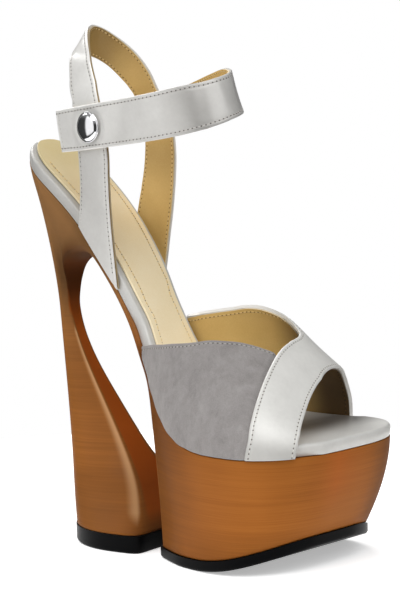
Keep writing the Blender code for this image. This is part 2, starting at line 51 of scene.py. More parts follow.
# %% [markdown]
# ## The shoe's own measure
# The tables below are in millimetres on the shoe's own axes: x runs along the floor from the back
# of the heel seat to the toe, y to the inner side of the foot, z up.  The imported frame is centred,
# so one small function turns a point of the shoe into a point of the scene.  A monotone cubic runs
# through every table, because a plain cubic would overshoot between rows and dent the leather.

# %% Measure
MM = 0.001
CENTRE = Vector((92.05, -0.75, 0.0))


def in_scene(point):
    return (point - CENTRE) * MM


def on_shoe(vert):
    """Where a vertex of the scene lies on the shoe's own axes."""
    return vert.co / MM + CENTRE


def mix(a, b, t):
    return a + (b - a) * t


def ramp(x, low, high):
    return min(1.0, max(0.0, (x - low) / (high - low)))


def soft_ramp(x, low, high):
    t = ramp(x, low, high)
    return t * t * (3 - 2 * t)


def hump(x, centre, reach):
    return math.exp(-((x - centre) / reach) ** 2)


print("one millimetre is", MM, "in the scene")


# %% Smooth columns
@lru_cache(maxsize=None)
def knots(table, name):
    """Runs, values, steps and slopes of one column of a table."""
    columns, rows = table
    xs = [row[0] for row in rows]
    ys = [row[columns.index(name)] for row in rows]
    n = len(xs)
    step = [xs[i + 1] - xs[i] for i in range(n - 1)]
    rise = [(ys[i + 1] - ys[i]) / step[i] for i in range(n - 1)]
    lean = [rise[0]]
    for i in range(1, n - 1):
        if rise[i - 1] * rise[i] <= 0:
            lean.append(0.0)
        else:
            a = 2 * step[i] + step[i - 1]
            b = step[i] + 2 * step[i - 1]
            lean.append((a + b) / (a / rise[i - 1] + b / rise[i]))
    return xs, ys, step, lean + [rise[-1]]


@lru_cache(maxsize=None)
def smooth(table, name, x):
    """Monotone cubic through one column of a table; the first column is the run."""
    xs, ys, step, lean = knots(table, name)
    if x <= xs[0]:
        return ys[0]
    if x >= xs[-1]:
        return ys[-1]
    i = bisect_right(xs, x) - 1
    t = (x - xs[i]) / step[i]
    h1 = (1 + 2 * t) * (1 - t) ** 2
    h2 = t * (1 - t) ** 2
    h3 = t * t * (3 - 2 * t)
    h4 = t * t * (t - 1)
    return h1 * ys[i] + h2 * step[i] * lean[i] + h3 * ys[i + 1] + h4 * step[i] * lean[i + 1]


# %% [markdown]
# ## Last and patterns
# A shoemaker works from a last and a set of cut patterns, and these tables are both: the footbed
# with the feather line, where the upper meets the sole, the crown over the toes, and the edges of
# every hide.  Rows of numbers are used rather than formulas, because one row can be corrected
# without moving the rest.

# %% Footbed and vamp
# Footbed and last: x, top of the wood, half widths of the feather line
FORM = (("x", "bed", "lateral", "medial"), (
    (0.0, 172.2, 18.5, 18.5),
    (20.0, 159.0, 18.5, 18.5),
    (45.0, 138.0, 18.2, 16.5),
    (65.0, 112.5, 17.0, 14.0),
    (85.0, 81.5, 23.0, 13.0),
    (95.0, 69.5, 29.0, 16.5),
    (105.0, 61.0, 35.0, 23.0),
    (115.0, 55.4, 40.0, 29.5),
    (125.0, 52.0, 43.4, 35.6),
    (140.0, 50.2, 46.2, 43.0),
    (152.0, 50.0, 46.6, 45.0),
    (190.0, 50.6, 46.6, 45.0),
))

# Crown of the vamp above the floor
CROWN = (("x", "z"), (
    (60.0, 165.0), (75.0, 150.0), (90.0, 138.0), (105.0, 124.0), (120.0, 112.0), (130.0, 105.0),
    (140.0, 94.7), (150.0, 85.8), (160.0, 77.7), (170.0, 69.7), (178.0, 63.4), (190.0, 54.0),
))

# Leather band over the toes: angle round the foot from the outer side, its rear and front edge
BAND = (("angle", "rear", "front"), (
    (0.0, 161.0, 175.7), (13.0, 161.4, 175.8), (30.0, 159.6, 175.2), (44.0, 157.0, 173.8),
    (58.0, 153.5, 171.5), (70.5, 149.9, 168.3), (80.0, 147.1, 165.4), (92.0, 144.3, 161.5),
    (100.0, 143.0, 159.2), (112.0, 138.5, 156.4), (123.0, 120.4, 153.9), (134.0, 108.8, 150.9),
    (143.0, 101.1, 148.8), (152.0, 93.4, 147.6), (163.0, 84.8, 147.0), (173.0, 78.5, 146.2),
    (180.0, 76.0, 146.0),
))

# Suede side panel: x along its top edge and the angle it climbs to
SUEDE = (("x", "top"), (
    (84.0, 5.5), (93.8, 17.8), (108.6, 32.5), (118.0, 40.9), (125.4, 48.3), (132.0, 55.8),
    (138.0, 66.1), (143.0, 73.5), (147.5, 78.4), (170.0, 78.4),
))

print("the bed falls from", FORM[1][0][1], "to", FORM[1][-2][1], "mm")

# %% Straps
# Back strap: its front edge and its back edge, from the outer side of the sole round to the inner.
# The first row ends a millimetre above the solid, where the hide goes down beside the insole
STRAP = (
    (67.4, -17.9, 112.6, 45.6, -18.9, 140.4),
    (67.2, -19.6, 131.0, 48.2, -20.0, 150.0),
    (68.0, -21.6, 146.0, 50.4, -21.6, 158.5),
    (69.2, -23.2, 160.0, 51.8, -23.2, 167.0),
    (70.4, -24.4, 173.0, 52.4, -24.4, 175.0),
    (69.0, -25.2, 185.0, 52.2, -25.2, 185.0),
    (66.0, -24.6, 196.0, 50.0, -24.6, 194.2),
    (60.4, -21.6, 207.0, 46.2, -21.6, 204.4),
    (52.2, -15.4, 217.4, 41.0, -16.0, 212.8),
    (43.4, -6.0, 226.2, 36.4, -6.6, 215.0),
    (40.0, 3.0, 227.0, 35.6, 3.2, 213.2),
    (43.0, 10.4, 222.2, 36.8, 11.0, 208.8),
    (48.0, 16.4, 215.0, 38.8, 16.8, 203.0),
    (52.0, 20.6, 206.4, 40.0, 20.8, 198.6),
    (55.2, 23.4, 196.6, 41.0, 23.4, 193.4),
    (60.0, 24.6, 185.0, 43.4, 24.6, 184.0),
    (63.2, 24.0, 173.0, 45.2, 24.0, 174.0),
    (64.6, 21.6, 157.4, 45.6, 21.6, 159.0),
    (64.2, 18.4, 136.0, 45.0, 19.2, 149.0),
    (63.0, 15.2, 116.6, 44.4, 17.4, 139.6),
)

# Ankle band: its upper and its lower edge, from the snap tab round the front to the inner side
ANKLE = (
    (41.5, -26.2, 191.0, 44.5, -26.2, 172.8),
    (54.0, -26.8, 192.6, 58.0, -26.8, 173.8),
    (67.0, -27.0, 194.2, 72.0, -27.0, 175.2),
    (86.0, -26.2, 196.6, 90.5, -26.4, 177.2),
    (99.0, -24.4, 198.6, 106.0, -24.6, 179.2),
    (110.6, -19.8, 200.8, 119.0, -20.0, 181.8),
    (117.6, -13.0, 202.4, 125.0, -13.4, 184.2),
    (119.4, -5.0, 204.6, 125.6, -5.2, 186.6),
    (115.2, 3.6, 206.4, 121.4, 3.6, 188.0),
    (104.6, 11.4, 207.2, 110.4, 11.6, 188.0),
    (91.6, 17.6, 205.0, 97.0, 17.8, 185.8),
    (76.0, 22.6, 201.2, 80.6, 22.8, 182.0),
    (60.0, 25.8, 197.2, 64.6, 26.0, 178.4),
    (44.0, 26.0, 195.4, 46.6, 26.2, 176.2),
    (36.0, 24.8, 194.6, 38.0, 25.0, 175.6),
)
SNAP_AT = 0.112
print("back strap", len(STRAP), "rows, ankle band", len(ANKLE), "rows")

# %% [markdown]
# ## Nodes written as arithmetic
# A finish is easier to read as a sum than as a web of wires.  The small class below holds one
# output socket of a material.  Adding, subtracting or multiplying two of them adds a Math node,
# and every other node comes from its `node` method: type, settings first, then sockets.


# %% A socket that can be added and multiplied
DEEP_SHADE = "2a1c0e"


class Socket:
    def __init__(self, tree, out=None):
        self.tree = tree
        self.out = out

    def node(self, kind, settings, sockets, give=0):
        made = self.tree.nodes.new(kind)
        for name, value in settings.items():
            if name == "stops":
                stops = made.color_ramp.elements
                for i, (place, colour) in enumerate(value):
                    stop = stops[i] if i < 2 else stops.new(place)
                    stop.position = place
                    stop.color = colour
            else:
                setattr(made, name, value)
        for name, value in sockets.items():
            if isinstance(value, Socket):
                self.tree.links.new(value.out, made.inputs[name])
            else:
                made.inputs[name].default_value = value
        return Socket(self.tree, made.outputs[give])

    def maths(self, operation, first, second, clamp=False):
        return self.node("ShaderNodeMath", {"operation": operation, "use_clamp": clamp},
                         {0: first, 1: second})

    def __add__(self, other):
        return self.maths("ADD", self, other)

    def __sub__(self, other):
        return self.maths("SUBTRACT", self, other)

    def __rsub__(self, other):
        return self.maths("SUBTRACT", other, self)

    def __mul__(self, other):
        return self.maths("MULTIPLY", self, other)

    __radd__ = __add__
    __rmul__ = __mul__

    def between(self, low, high):
        """0 below low, 1 above high, smooth in the middle."""
        return self.node("ShaderNodeMapRange", {"interpolation_type": "SMOOTHSTEP"},
                         {"Value": self, "From Min": low, "From Max": high})

    def speckle(self, scale, detail=3.0, rough=0.5, warp=0.0):
        """Noise over these coordinates; scale is cells per metre along x, y and z."""
        spread = self.node("ShaderNodeMapping", {}, {"Vector": self, "Scale": scale})
        return self.node("ShaderNodeTexNoise", {},
                         {"Vector": spread, "Scale": 1.0, "Detail": detail, "Roughness": rough,
                          "Distortion": warp}, "Fac")

    def blend(self, first, second):
        """First colour where this value is 0, second where it is 1."""
        return self.node("ShaderNodeMix", {"data_type": "RGBA"}, {0: self, 6: first, 7: second}, 2)

    def shaded(self, colour, dark=DEEP_SHADE):
        """The colour, darker where the mesh carries an attribute named shade."""
        shade = self.node("ShaderNodeAttribute", {"attribute_name": "shade"}, {}, "Fac")
        return shade.blend(colour, hue(dark))

    def relief(self, depth, strength=1.0):
        """A bump whose full height is depth metres."""
        return self.node("ShaderNodeBump", {},
                         {"Height": self, "Distance": depth, "Strength": strength}, "Normal")


# %% Colours and shaders
def hue(code):
    """A screen colour such as "d0cfca" as the linear colour that a shader takes."""
    parts = [int(code[i:i + 2], 16) / 255 for i in (0, 2, 4)]
    linear = [c / 12.92 if c <= 0.04045 else ((c + 0.055) / 1.055) ** 2.4 for c in parts]
    return (*linear, 1.0)


def start_finish(name):
    """A new material and its Object coordinates."""
    made = bpy.data.materials.new(name)
    made.use_nodes = True
    return made, Socket(made.node_tree).node("ShaderNodeTexCoord", {}, {}, "Object")


def set_finish(made, **sockets):
    """Sets or links sockets of a material's shader; an underscore stands for a space."""
    shader = made.node_tree.nodes["Principled BSDF"]
    for name, value in sockets.items():
        target = shader.inputs[name.replace("_", " ")]
        if isinstance(value, Socket):
            made.node_tree.links.new(value.out, target)
        else:
            target.default_value = value
    return made


print("mid grey is", round(hue("808080")[0], 3), "to a shader")

# %% [markdown]
# ## Wood look
# The platform and heel are one moulding, stained and lacquered to look like wood laid in thin level
# sheets.  The grain is therefore noise squeezed hard along z and stretched along x and y.  Fine
# streaks, broad streaks and a slow drift of the stain are three sizes of the same noise.  Light and
# shade are painted into the stain: a redder painted reflection in the hollow of the heel and under
# the shank, a painted pool of light at the toe, a painted highlight along the heel's ridge, and
# painted shade, nearly black in the neck and in the gap.  Two attributes of the mesh, made further
# down, say where; paler painted light higher up the heel goes by height alone.  Lacquer is a thin
# coat with its own gloss, and the wood is rougher where shade is painted.

# %% Wood-look finish
def make_wood():
    made, at = start_finish("wood_look_satin")
    fine = at.speckle((24.0, 24.0, 1900.0), 4.0, 0.62)
    broad = at.speckle((9.0, 9.0, 420.0), 3.0, 0.55, 0.2)
    drift = at.speckle((20.0, 20.0, 16.0), 2.0)
    painted_light = at.node("ShaderNodeAttribute", {"attribute_name": "painted_light"}, {}, "Fac")
    tone = (fine - 0.5) * 0.34 + (broad - 0.5) * 0.24 + (drift - 0.5) * 0.42 + 0.5
    stain = tone.node("ShaderNodeValToRGB", {"stops": (
        (0.12, hue("5c3010")), (0.88, hue("b06e2e")), (0.38, hue("824a1a")), (0.62, hue("9a5c24")),
    )}, {"Fac": tone}, "Color")
    # Painted reflection: the stain is redder in the hollow of the heel and under the shank, and a
    # painted pool of light makes it redder at the toe
    hollow = painted_light.between(0.0, 1.0) * 0.9
    # Painted highlight: the stain is paler along the heel's ridge
    ridge_highlight = painted_light.between(-0.3, -1.0) * 0.7
    along, height = (at.node("ShaderNodeSeparateXYZ", {}, {0: at}, axis) for axis in "XZ")
    # Painted light: the heel is paler and greyer higher up
    upper_heel_light = along.between(0.0, -0.03) * (0.15 + height.between(0.06, 0.15) * 0.6)
    stain = upper_heel_light.blend(stain, hue("94714a"))
    stain = ridge_highlight.blend(hollow.blend(stain, hue("ae5518")), hue("d4a676"))
    # Painted shade darkens the stain, and the wood is rougher there
    shade = at.node("ShaderNodeAttribute", {"attribute_name": "shade"}, {}, "Fac")
    gloss = 0.42 + (fine - 0.5) * 0.2 + shade * 0.5
    return set_finish(made, Base_Color=at.shaded(stain), Roughness=gloss, Specular_IOR_Level=0.04,
                      Coat_Weight=0.03 - hollow * 0.03, Coat_Roughness=0.2,
                      Normal=fine.relief(0.00004, 0.5))


WOOD = make_wood()
print(WOOD.name, "has", len(WOOD.node_tree.nodes), "nodes")

# %% [markdown]
# ## Rubber, leather, suede, lining, thread and metal
# Rubber is nearly black with a faint moulded skin.  The pearl leather is pale grey with a low
# metallic share, a fine pebble and slow cloudy patches.  Suede has no gloss at all: its nap leans
# in patches, so two sizes of noise move its grey, and a sheen catches the light at grazing angles.
# Lining and sock are one golden hide in a deeper and a paler dye.  Leather and hides darken by the
# same attribute as the wood.

# %% Rubber and leather
def make_rubber():
    made, at = start_finish("black_rubber")
    skin = at.speckle((900.0, 900.0, 900.0), 2.0)
    dust = at.speckle((60.0, 60.0, 60.0), 3.0)
    return set_finish(made, Base_Color=dust.blend(hue("030304"), hue("08090a")),
                      Roughness=0.3 + dust * 0.16, Specular_IOR_Level=0.04,
                      Normal=skin.relief(0.00006, 0.4))


def make_leather(name, dark, pale, pearl, rough, grain=1.0):
    made, at = start_finish(name)
    cells = at.node("ShaderNodeTexVoronoi", {"feature": "SMOOTH_F1"},
                    {"Vector": at, "Scale": 1150.0, "Smoothness": 0.6}, "Distance")
    cloud = at.speckle((70.0, 70.0, 70.0), 3.0, 0.55)
    fleck = at.speckle((620.0, 620.0, 620.0), 2.0)
    tone = (cloud - 0.5) * 0.9 + (fleck - 0.5) * 0.35 + 0.5
    return set_finish(made, Base_Color=at.shaded(tone.blend(hue(dark), hue(pale))), Metallic=pearl,
                      Roughness=rough + (cloud - 0.5) * 0.12 + (fleck - 0.5) * 0.08,
                      Coat_Weight=0.12, Coat_Roughness=0.3,
                      Normal=(cells + fleck * 0.6).relief(0.00005 * grain, 0.35))


# %% Suede and hide
def make_suede():
    made, at = start_finish("grey_suede")
    patch = at.speckle((95.0, 95.0, 95.0), 4.0, 0.6, 0.6)
    stroke = at.speckle((420.0, 420.0, 190.0), 3.0, 0.6, 0.8)
    nap = at.speckle((2600.0, 2600.0, 2600.0), 2.0, 0.6)
    tone = (patch - 0.5) * 0.95 + (stroke - 0.5) * 0.55 + (nap - 0.5) * 0.7 + 0.5
    return set_finish(made, Base_Color=tone.blend(hue("757170"), hue("9f9b99")), Roughness=0.96,
                      Specular_IOR_Level=0.15, Sheen_Weight=0.25, Sheen_Roughness=0.45,
                      Sheen_Tint=hue("d8d4d0"), Normal=(nap + stroke).relief(0.00022, 0.55))


def make_hide(name, dark, pale, rough, deep=DEEP_SHADE):
    made, at = start_finish(name)
    cloud = at.speckle((55.0, 55.0, 55.0), 3.0, 0.55)
    pore = at.speckle((1500.0, 1500.0, 1500.0), 2.0)
    tone = (cloud - 0.5) * 0.9 + (pore - 0.5) * 0.5 + 0.5
    return set_finish(made, Base_Color=at.shaded(tone.blend(hue(dark), hue(pale)), deep),
                      Roughness=rough + (cloud - 0.5) * 0.14, Normal=pore.relief(0.00005, 0.35))


# %% Thread and metal
def make_thread(name, dark, pale):
    made, at = start_finish(name)
    twist = at.speckle((2400.0, 2400.0, 2400.0), 1.0)
    return set_finish(made, Base_Color=twist.blend(hue(dark), hue(pale)), Roughness=0.62,
                      Normal=twist.relief(0.00008, 0.5))


def make_metal():
    made, at = start_finish("polished_metal")
    marks = at.speckle((900.0, 900.0, 900.0), 3.0)
    return set_finish(made, Base_Color=marks.blend(hue("d2d2d4"), hue("e6e6e8")), Metallic=1.0,
                      Roughness=0.07 + marks * 0.06)


# %% The finishes of this shoe
RUBBER = make_rubber()
SILVER = make_leather("pearl_leather", "d6d4d0", "f3f2ee", 0.17, 0.36)
SOFT_SILVER = make_leather("soft_pearl_leather", "c2c1bd", "dcdbd7", 0.08, 0.42)
SILVER_EDGE = make_leather("pearl_leather_edge", "d8d6d1", "efeeea", 0.1, 0.4, 0.5)
SUEDE_FINISH = make_suede()
LINING = make_hide("tan_lining_hide", "cba45a", "e4c27c", 0.52, "2c1300")
# The sock's painted shade turns it a deeper gold
SOCK = make_hide("pale_gold_sock", "ecd6a6", "f9ebcc", 0.4, "8d7c00")
CUT_EDGE = make_hide("cut_leather_edge", "c9b48c", "e4d6b8", 0.6)
PALE_THREAD = make_thread("pale_grey_thread", "b4b0ab", "d6d3cd")
GREY_THREAD = make_thread("suede_grey_thread", "97928e", "b5b0ac")
GOLD_THREAD = make_thread("gold_thread", "cfae6a", "ecd6a2")
# Thread inside the toe opening lies in the shade of the band
TOE_THREAD = make_thread("shaded_gold_thread", "33230f", "4a3618")
HOLE = make_thread("needle_hole_shade", "4d4843", "6a645d")
GOLD_HOLE = make_thread("needle_hole_gold_shade", "5e431c", "7a5a2a")
METAL = make_metal()
print(len(bpy.data.materials), "materials with those of the solids")

# %% [markdown]
# ## Rigid pieces: a cage that is smoothed
# The platform unit, both rubber pieces, the insole and its sock already have the right form as
# solids, only with flat facets.  A copy of each is merged, its triangles are paired back into
# quads, and it becomes the cage of a Subdivision Surface.  Subdivision alone would melt the crisp
# rims, so the edges where a wall meets a flat face are creased first.


# %% Putting a piece in the scene
def put_in_scene(name, mesh, *finishes):
    data = bpy.data.meshes.new(name)
    mesh.to_mesh(data)
    mesh.free()
    for finish in finishes:
        data.materials.append(finish)
    for face in data.polygons:
        face.use_smooth = True
    made = bpy.data.objects.new(name, data)
    bpy.context.scene.collection.objects.link(made)
    return made


def stand_for(piece, node):
    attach(piece, "root")
    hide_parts(node)
    return piece


def round_edges(piece, width, segments=2):
    bevel = piece.modifiers.new("rounded edge", "BEVEL")
    bevel.width = width * MM
    bevel.segments = segments
    bevel.limit_method = "ANGLE"
    bevel.angle_limit = math.radians(50)
    even = piece.modifiers.new("even shading", "WEIGHTED_NORMAL")
    even.keep_sharp = True


# %% Smooth copies of solids
def smooth_copy(node, name, finish, levels, crease_rule, painted_light_rules=None):
    mesh = bmesh.new()
    mesh.from_mesh(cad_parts[node].data)
    bmesh.ops.remove_doubles(mesh, verts=mesh.verts[:], dist=1e-6)
    bmesh.ops.join_triangles(mesh, faces=mesh.faces[:], angle_face_threshold=1.2,
                             angle_shape_threshold=math.pi, topology_influence=2.0)
    crease = mesh.edges.layers.float.new("crease_edge")
    count = 0
    for edge in mesh.edges:
        edge[crease] = crease_rule(edge)
        count += edge[crease] > 0
    for face in mesh.faces:
        face.material_index = 0
    mesh.normal_update()
    # Painted light and shade, kept as attributes of the mesh
    for layer, rule in (painted_light_rules or {}).items():
        marks = mesh.verts.layers.float.new(layer)
        for vert in mesh.verts:
            vert[marks] = rule(vert)
    made = put_in_scene(name, mesh, finish)
    rounder = made.modifiers.new("smooth form", "SUBSURF")
    rounder.levels = levels
    rounder.render_levels = levels
    print(name, len(made.data.polygons), "cage faces,", count, "creased edges")
    return made


UPRIGHT_CORNER = 0.25


def sharp(edge, least):
    return 1.0 if edge.calc_face_angle(0.0) > least else 0.0


def level_rim(edge):
    """Crisp along a rim, softer round an upright corner."""
    run = edge.verts[1].co - edge.verts[0].co
    return sharp(edge, 0.6) * (1.0 if abs(run.z) < 0.5 * run.length else UPRIGHT_CORNER)


# %% [markdown]
# ## Moulding and treads
# Light and shade are painted into the moulding's colour, so its colour follows its form: painted
# shade where light can't reach, and a painted highlight where an edge stands out.  The rules below
# read where a vertex lies and which way it faces, and write that to the mesh as two attributes.
# Painting the same by hand would be lost each time the solid is packed again.  The treads are plain.

# %% Rules of the wood
HEEL_FRONT = 95.0
HEEL_FOOT = 8.2


def bed(x):
    return smooth(FORM, "bed", x)


def wood_crease(edge):
    """Crisp along the feather line and at the feet; the ridge of the heel stays soft."""
    a, b = map(on_shoe, edge.verts)
    if edge.calc_face_angle(0.0) < 0.5:
        return 0.0
    if max(abs(a.z - bed(a.x)), abs(b.z - bed(b.x))) < 0.4:
        return 1.0
    on_platform_rim = min(a.x, b.x) > 96 and max(a.z, b.z) < 16 and abs(a.z - b.z) < 3
    return 1.0 if max(a.z, b.z) < HEEL_FOOT or on_platform_rim else 0.0


# %% Painted light and shade of the wood
# Painted pool of light at the toe and painted reflection under the shank
PAINTED_TOE_LIGHT = 0.6
PAINTED_UNDER_REFLECTION = 0.45
# Strength of the painted shade in each place
PAINTED_SHADE = {"neck": 0.75, "roof": 0.85, "gap": 0.75, "waist": 0.2, "foot": 0.32, "rear": 0.52,
       "rim": 0.22, "toe": 0.5}


def painted_light_of(vert):
    """Painted light: above 0 for a painted pool of light at the toe and a redder painted reflection in
    the hollow of the heel and under the shank, below 0 for a painted highlight along the ridge.
    """
    at = on_shoe(vert)
    if at.x > 150:
        return PAINTED_TOE_LIGHT * hump(at.y, -4.0, 14.0) * soft_ramp(at.z, 18.0, 40.0)
    if at.x > HEEL_FRONT or at.z > bed(at.x) - 3 or at.z < HEEL_FOOT:
        return 0.0
    upright = [e for e in vert.link_edges if abs(e.verts[0].co.z - e.verts[1].co.z) > 4 * MM]
    ridge = max((e.calc_face_angle(0.0) for e in upright), default=0.0)
    on_heel = at.x < 70 or (at.x < 84 and at.z < 45)
    if ridge > 0.6 and at.z < 100 and on_heel:
        return -1.0
    return max(soft_ramp(vert.normal.x, 0.45, 0.8), PAINTED_UNDER_REFLECTION * soft_ramp(-vert.normal.z, 0.3, 0.7))


def shade_of(vert):
    """Painted shade: round the neck, under the shank, in the gap, down the heel, at the rear and toe
    of the platform and along its lower rims.
    """
    at = on_shoe(vert)
    ahead, inward, down = vert.normal.x, vert.normal.y, -vert.normal.z
    in_neck = soft_ramp(at.x, 11.0, 19.0) * (1 - soft_ramp(at.x, 45.0, 60.0))
    neck = PAINTED_SHADE["neck"] * hump(at.z, 116.0, 17.0) * in_neck
    roof = max(soft_ramp(down, 0.2, 0.6), soft_ramp(ahead, 0.3, 0.7) * (at.x < 60))
    under = PAINTED_SHADE["roof"] * roof * soft_ramp(at.z, 88.0, 112.0)
    if at.x < HEEL_FRONT and at.z < bed(at.x) - 12:
        gap = PAINTED_SHADE["gap"] * soft_ramp(ahead, 0.5, 0.9) * (1 - soft_ramp(at.z, 18.0, 44.0))
        waist = PAINTED_SHADE["waist"] * hump(at.z, 66.0, 20.0) * (painted_light_of(vert) >= 0)
        foot = PAINTED_SHADE["foot"] * (1 - soft_ramp(at.z, 12.0, 45.0))
        return max(neck, under, gap, waist, foot)
    rear = PAINTED_SHADE["rear"] * (1 - soft_ramp(at.x, 98.0, 146.0)) * (at.x > 80)
    rim = PAINTED_SHADE["rim"] * (1 - soft_ramp(at.z, 9.0, 24.0)) * (at.x > 80)
    toe = PAINTED_SHADE["toe"] * soft_ramp(inward, -0.05, 0.32) * (at.x > 120)
    return max(neck, under, rear, rim, toe)


# %% Moulding and treads
wood_painted_light = {"painted_light": painted_light_of, "shade": shade_of}
unit = smooth_copy("platform_heel_unit", "wood_platform_and_heel", WOOD, 3, wood_crease, wood_painted_light)
stand_for(unit, "platform_heel_unit")
for node, name in (("outsole", "forefoot_sole"), ("heel_top_lift", "heel_lift")):
    tread = smooth_copy(node, name, RUBBER, 2, level_rim)
    round_edges(tread, 0.8, 3)
    stand_for(tread, node)

# %% [markdown]
# ## Insole and sock
# The insole is a board wrapped in the same pearl leather as the straps, so its rim is rounded where
# the leather turns over.  The sock is a thin golden hide glued on top, a little smaller, and sewn
# round its edge before it is laid in.

# %% Rules of the insole
# Painted shade on the insole
RIM_SHADE = 0.14
SEAT_SHADE = 0.1
LEAST_SHADE = 0.1
VAMP_SHADE = 0.85
SOCK_SEAT_SHADE = 0.45


def insole_crease(edge):
    """Sharp where the board meets the wood, softer where the leather turns over its upper rim."""
    a, b = map(on_shoe, edge.verts)
    low = max(a.z - bed(a.x), b.z - bed(b.x)) < 0.8
    return sharp(edge, 0.45) * (1.0 if low else 0.8)


def under_vamp(vert):
    """Painted shade: the insole is darker round the heel seat, and dark under the vamp, where little
    light comes.
    """
    at = on_shoe(vert)
    if at.x < 110:
        return RIM_SHADE + SEAT_SHADE * (1 - soft_ramp(at.x, 40.0, 80.0))
    on_top = at.z > bed(at.x) + 4.6
    covered = soft_ramp(at.x, 120.0, 146.0) * (1 - soft_ramp(at.x, 146.0, 175.0))
    return max(LEAST_SHADE, VAMP_SHADE * on_top * covered)


def sock_crease(edge):
    return sharp(edge, 0.75)


def seat_painted_shade(vert):
    """Painted shade: the sock is darker and deeper gold on the heel seat."""
    return SOCK_SEAT_SHADE * (1 - soft_ramp(on_shoe(vert).x, 12.0, 48.0))


# %% Insole and sock
insole = smooth_copy("insole_board", "wrapped_insole", SOFT_SILVER, 2, insole_crease,
                     {"shade": under_vamp})
round_edges(insole, 0.5, 3)
stand_for(insole, "insole_board")
sock = smooth_copy("insole_sock", "sock_lining", SOCK, 2, sock_crease, {"shade": seat_painted_shade})
round_edges(sock, 0.3)
stand_for(sock, "insole_sock")

# %% [markdown]
# ## Panels of leather
# A panel is a grid laid on a rule: two numbers from 0 to 1 say where on the panel a point is, and
# a height says how far it stands off.  The grid is crowded towards its edges, where leather rolls
# over and a seam pulls it in, so those small forms are real geometry.  A Solidify modifier gives
# the hide its thickness and a Bevel rounds the cut.  Modelling each strap as a tube would need
# more points for the same roll.

# %% Forms at a sewn edge
SEAM_IN = 1.6
SEAM_DEEP = 0.16
SEAM_REACH = 0.5
ROLL = 0.5
ROLL_REACH = 1.0
NEARBY = 0.002


def crowd(t):
    """Spaces points closer together at both ends."""
    return 0.5 - 0.5 * math.cos(math.pi * t)


def spans(place, u, v):
    """Millimetres per unit of u and per unit of v, each measured square to the other."""
    u0, u1 = max(u - NEARBY, 0.0), min(u + NEARBY, 1.0)
    v0, v1 = max(v - NEARBY, 0.0), min(v + NEARBY, 1.0)
    along = (place(u1, v, 0.0) - place(u0, v, 0.0)) / (u1 - u0)
    across = (place(u, v1, 0.0) - place(u, v0, 0.0)) / (v1 - v0)
    area = along.cross(across).length
    return area / max(across.length, 1e-6), area / max(along.length, 1e-6)


def seam_relief(place, u, v, edges):
    """The leather rolls down at a sewn edge and is pulled in along the stitch line."""
    if not edges:
        return 0.0
    wide, high = spans(place, u, v)
    reach = {"start": u * wide, "end": (1 - u) * wide, "low": v * high, "high": (1 - v) * high}
    drop = 0.0
    for edge in edges:
        d = reach[edge]
        roll = ROLL * max(0.0, 1 - d / ROLL_REACH) ** 2
        drop = max(drop, roll, SEAM_DEEP * hump(d, SEAM_IN, SEAM_REACH))
    return -drop


# %% Panel maker
def cut_panel(name, place, counts, height, thick, finishes, edges=(), inward=False, extra=None,
              shade=None):
    """A panel of leather; finishes are its face and its cut edge."""
    mesh = bmesh.new()
    mesh.loops.layers.uv.new("UVMap")
    bmesh.ops.create_grid(mesh, x_segments=counts[0], y_segments=counts[1], size=0.5, calc_uvs=True)
    dark = mesh.verts.layers.float.new("shade")
    for vert in mesh.verts:
        u, v = crowd(vert.co.x + 0.5), crowd(vert.co.y + 0.5)
        vert[dark] = shade(u, v) if shade else 0.0
        rise = height + seam_relief(place, u, v, edges)
        if extra:
            rise += extra(u, v)
        vert.co = in_scene(place(u, v, rise))
    mesh.normal_update()
    outward = place(0.5, 0.5, 1.0) - place(0.5, 0.5, 0.0)
    centre = in_scene(place(0.5, 0.5, height))
    middle = min(mesh.faces, key=lambda face: (face.calc_center_median() - centre).length)
    if (middle.normal.dot(outward) < 0) != inward:
        bmesh.ops.reverse_faces(mesh, faces=mesh.faces[:])
    made = put_in_scene(name, mesh, *finishes)
    wall = made.modifiers.new("hide", "SOLIDIFY")
    wall.thickness = thick * MM
    wall.offset = -1.0
    wall.material_offset_rim = len(finishes) - 1
    round_edges(made, min(0.3, 0.3 * thick))
    print(name, len(made.data.polygons), "faces")
    return made


# %% [markdown]
# ## Rows of stitches
# A machine stitch shows as a short rounded thread between two needle holes.  Each thread is one
# squashed sphere of few faces laid along the seam, and a small dark bead of painted shade marks each
# hole.  A texture could fake them, but they would vanish from the side, where they catch the light.


# %% Rows beside an edge
def track_on(place, height, edge, start=0.0, stop=1.0, inset=SEAM_IN, form=None):
    """A row beside one edge of a panel: a rule from 0 to 1 to a point and its outward direction."""
    def track(s):
        t = mix(start, stop, s)
        corner = {"start": (0.0, t), "end": (1.0, t), "low": (t, 0.0), "high": (t, 1.0)}[edge]
        wide, high = spans(place, *corner)
        u, v = corner
        if edge in ("start", "end"):
            u = abs(u - inset / wide)
        else:
            v = abs(v - inset / high)
        rise = height + (form(u, v) if form else 0.0)
        point = place(u, v, rise)
        outward = (place(u, v, rise + 1.0) - point).normalized()
        return point, outward
    return track


# %% Beads of thread
def bead(name, rings, index):
    """A small sphere of few faces, kept as a mesh that every stitch copies."""
    mesh = bmesh.new()
    bmesh.ops.create_uvsphere(mesh, u_segments=rings + 3, v_segments=rings, radius=1.0)
    for face in mesh.faces:
        face.material_index = index
    data = bpy.data.meshes.new(name)
    mesh.to_mesh(data)
    mesh.free()
    return data


THREAD_BEAD = bead("thread_bead", 5, 0)
HOLE_BEAD = bead("hole_bead", 4, 1)
print("a thread has", len(THREAD_BEAD.polygons), "faces, a hole", len(HOLE_BEAD.polygons))


def lay(whole, shape, centre, axes, size):
    """Adds a copy of a bead, stretched along three axes, at a point of the shoe."""
    at = Matrix.Translation(in_scene(centre))
    for k, axis in enumerate(axes):
        for r in range(3):
            at[r][k] = axis[r] * size[k] * MM
    copy = shape.copy()
    copy.transform(at)
    whole.from_mesh(copy)
    bpy.data.meshes.remove(copy)


# %% Stitch maker
THREAD_SHARE = 0.34
THREAD_HIGH = 0.24
HOLE_HIGH = 0.09
ROW_SAMPLES = 240


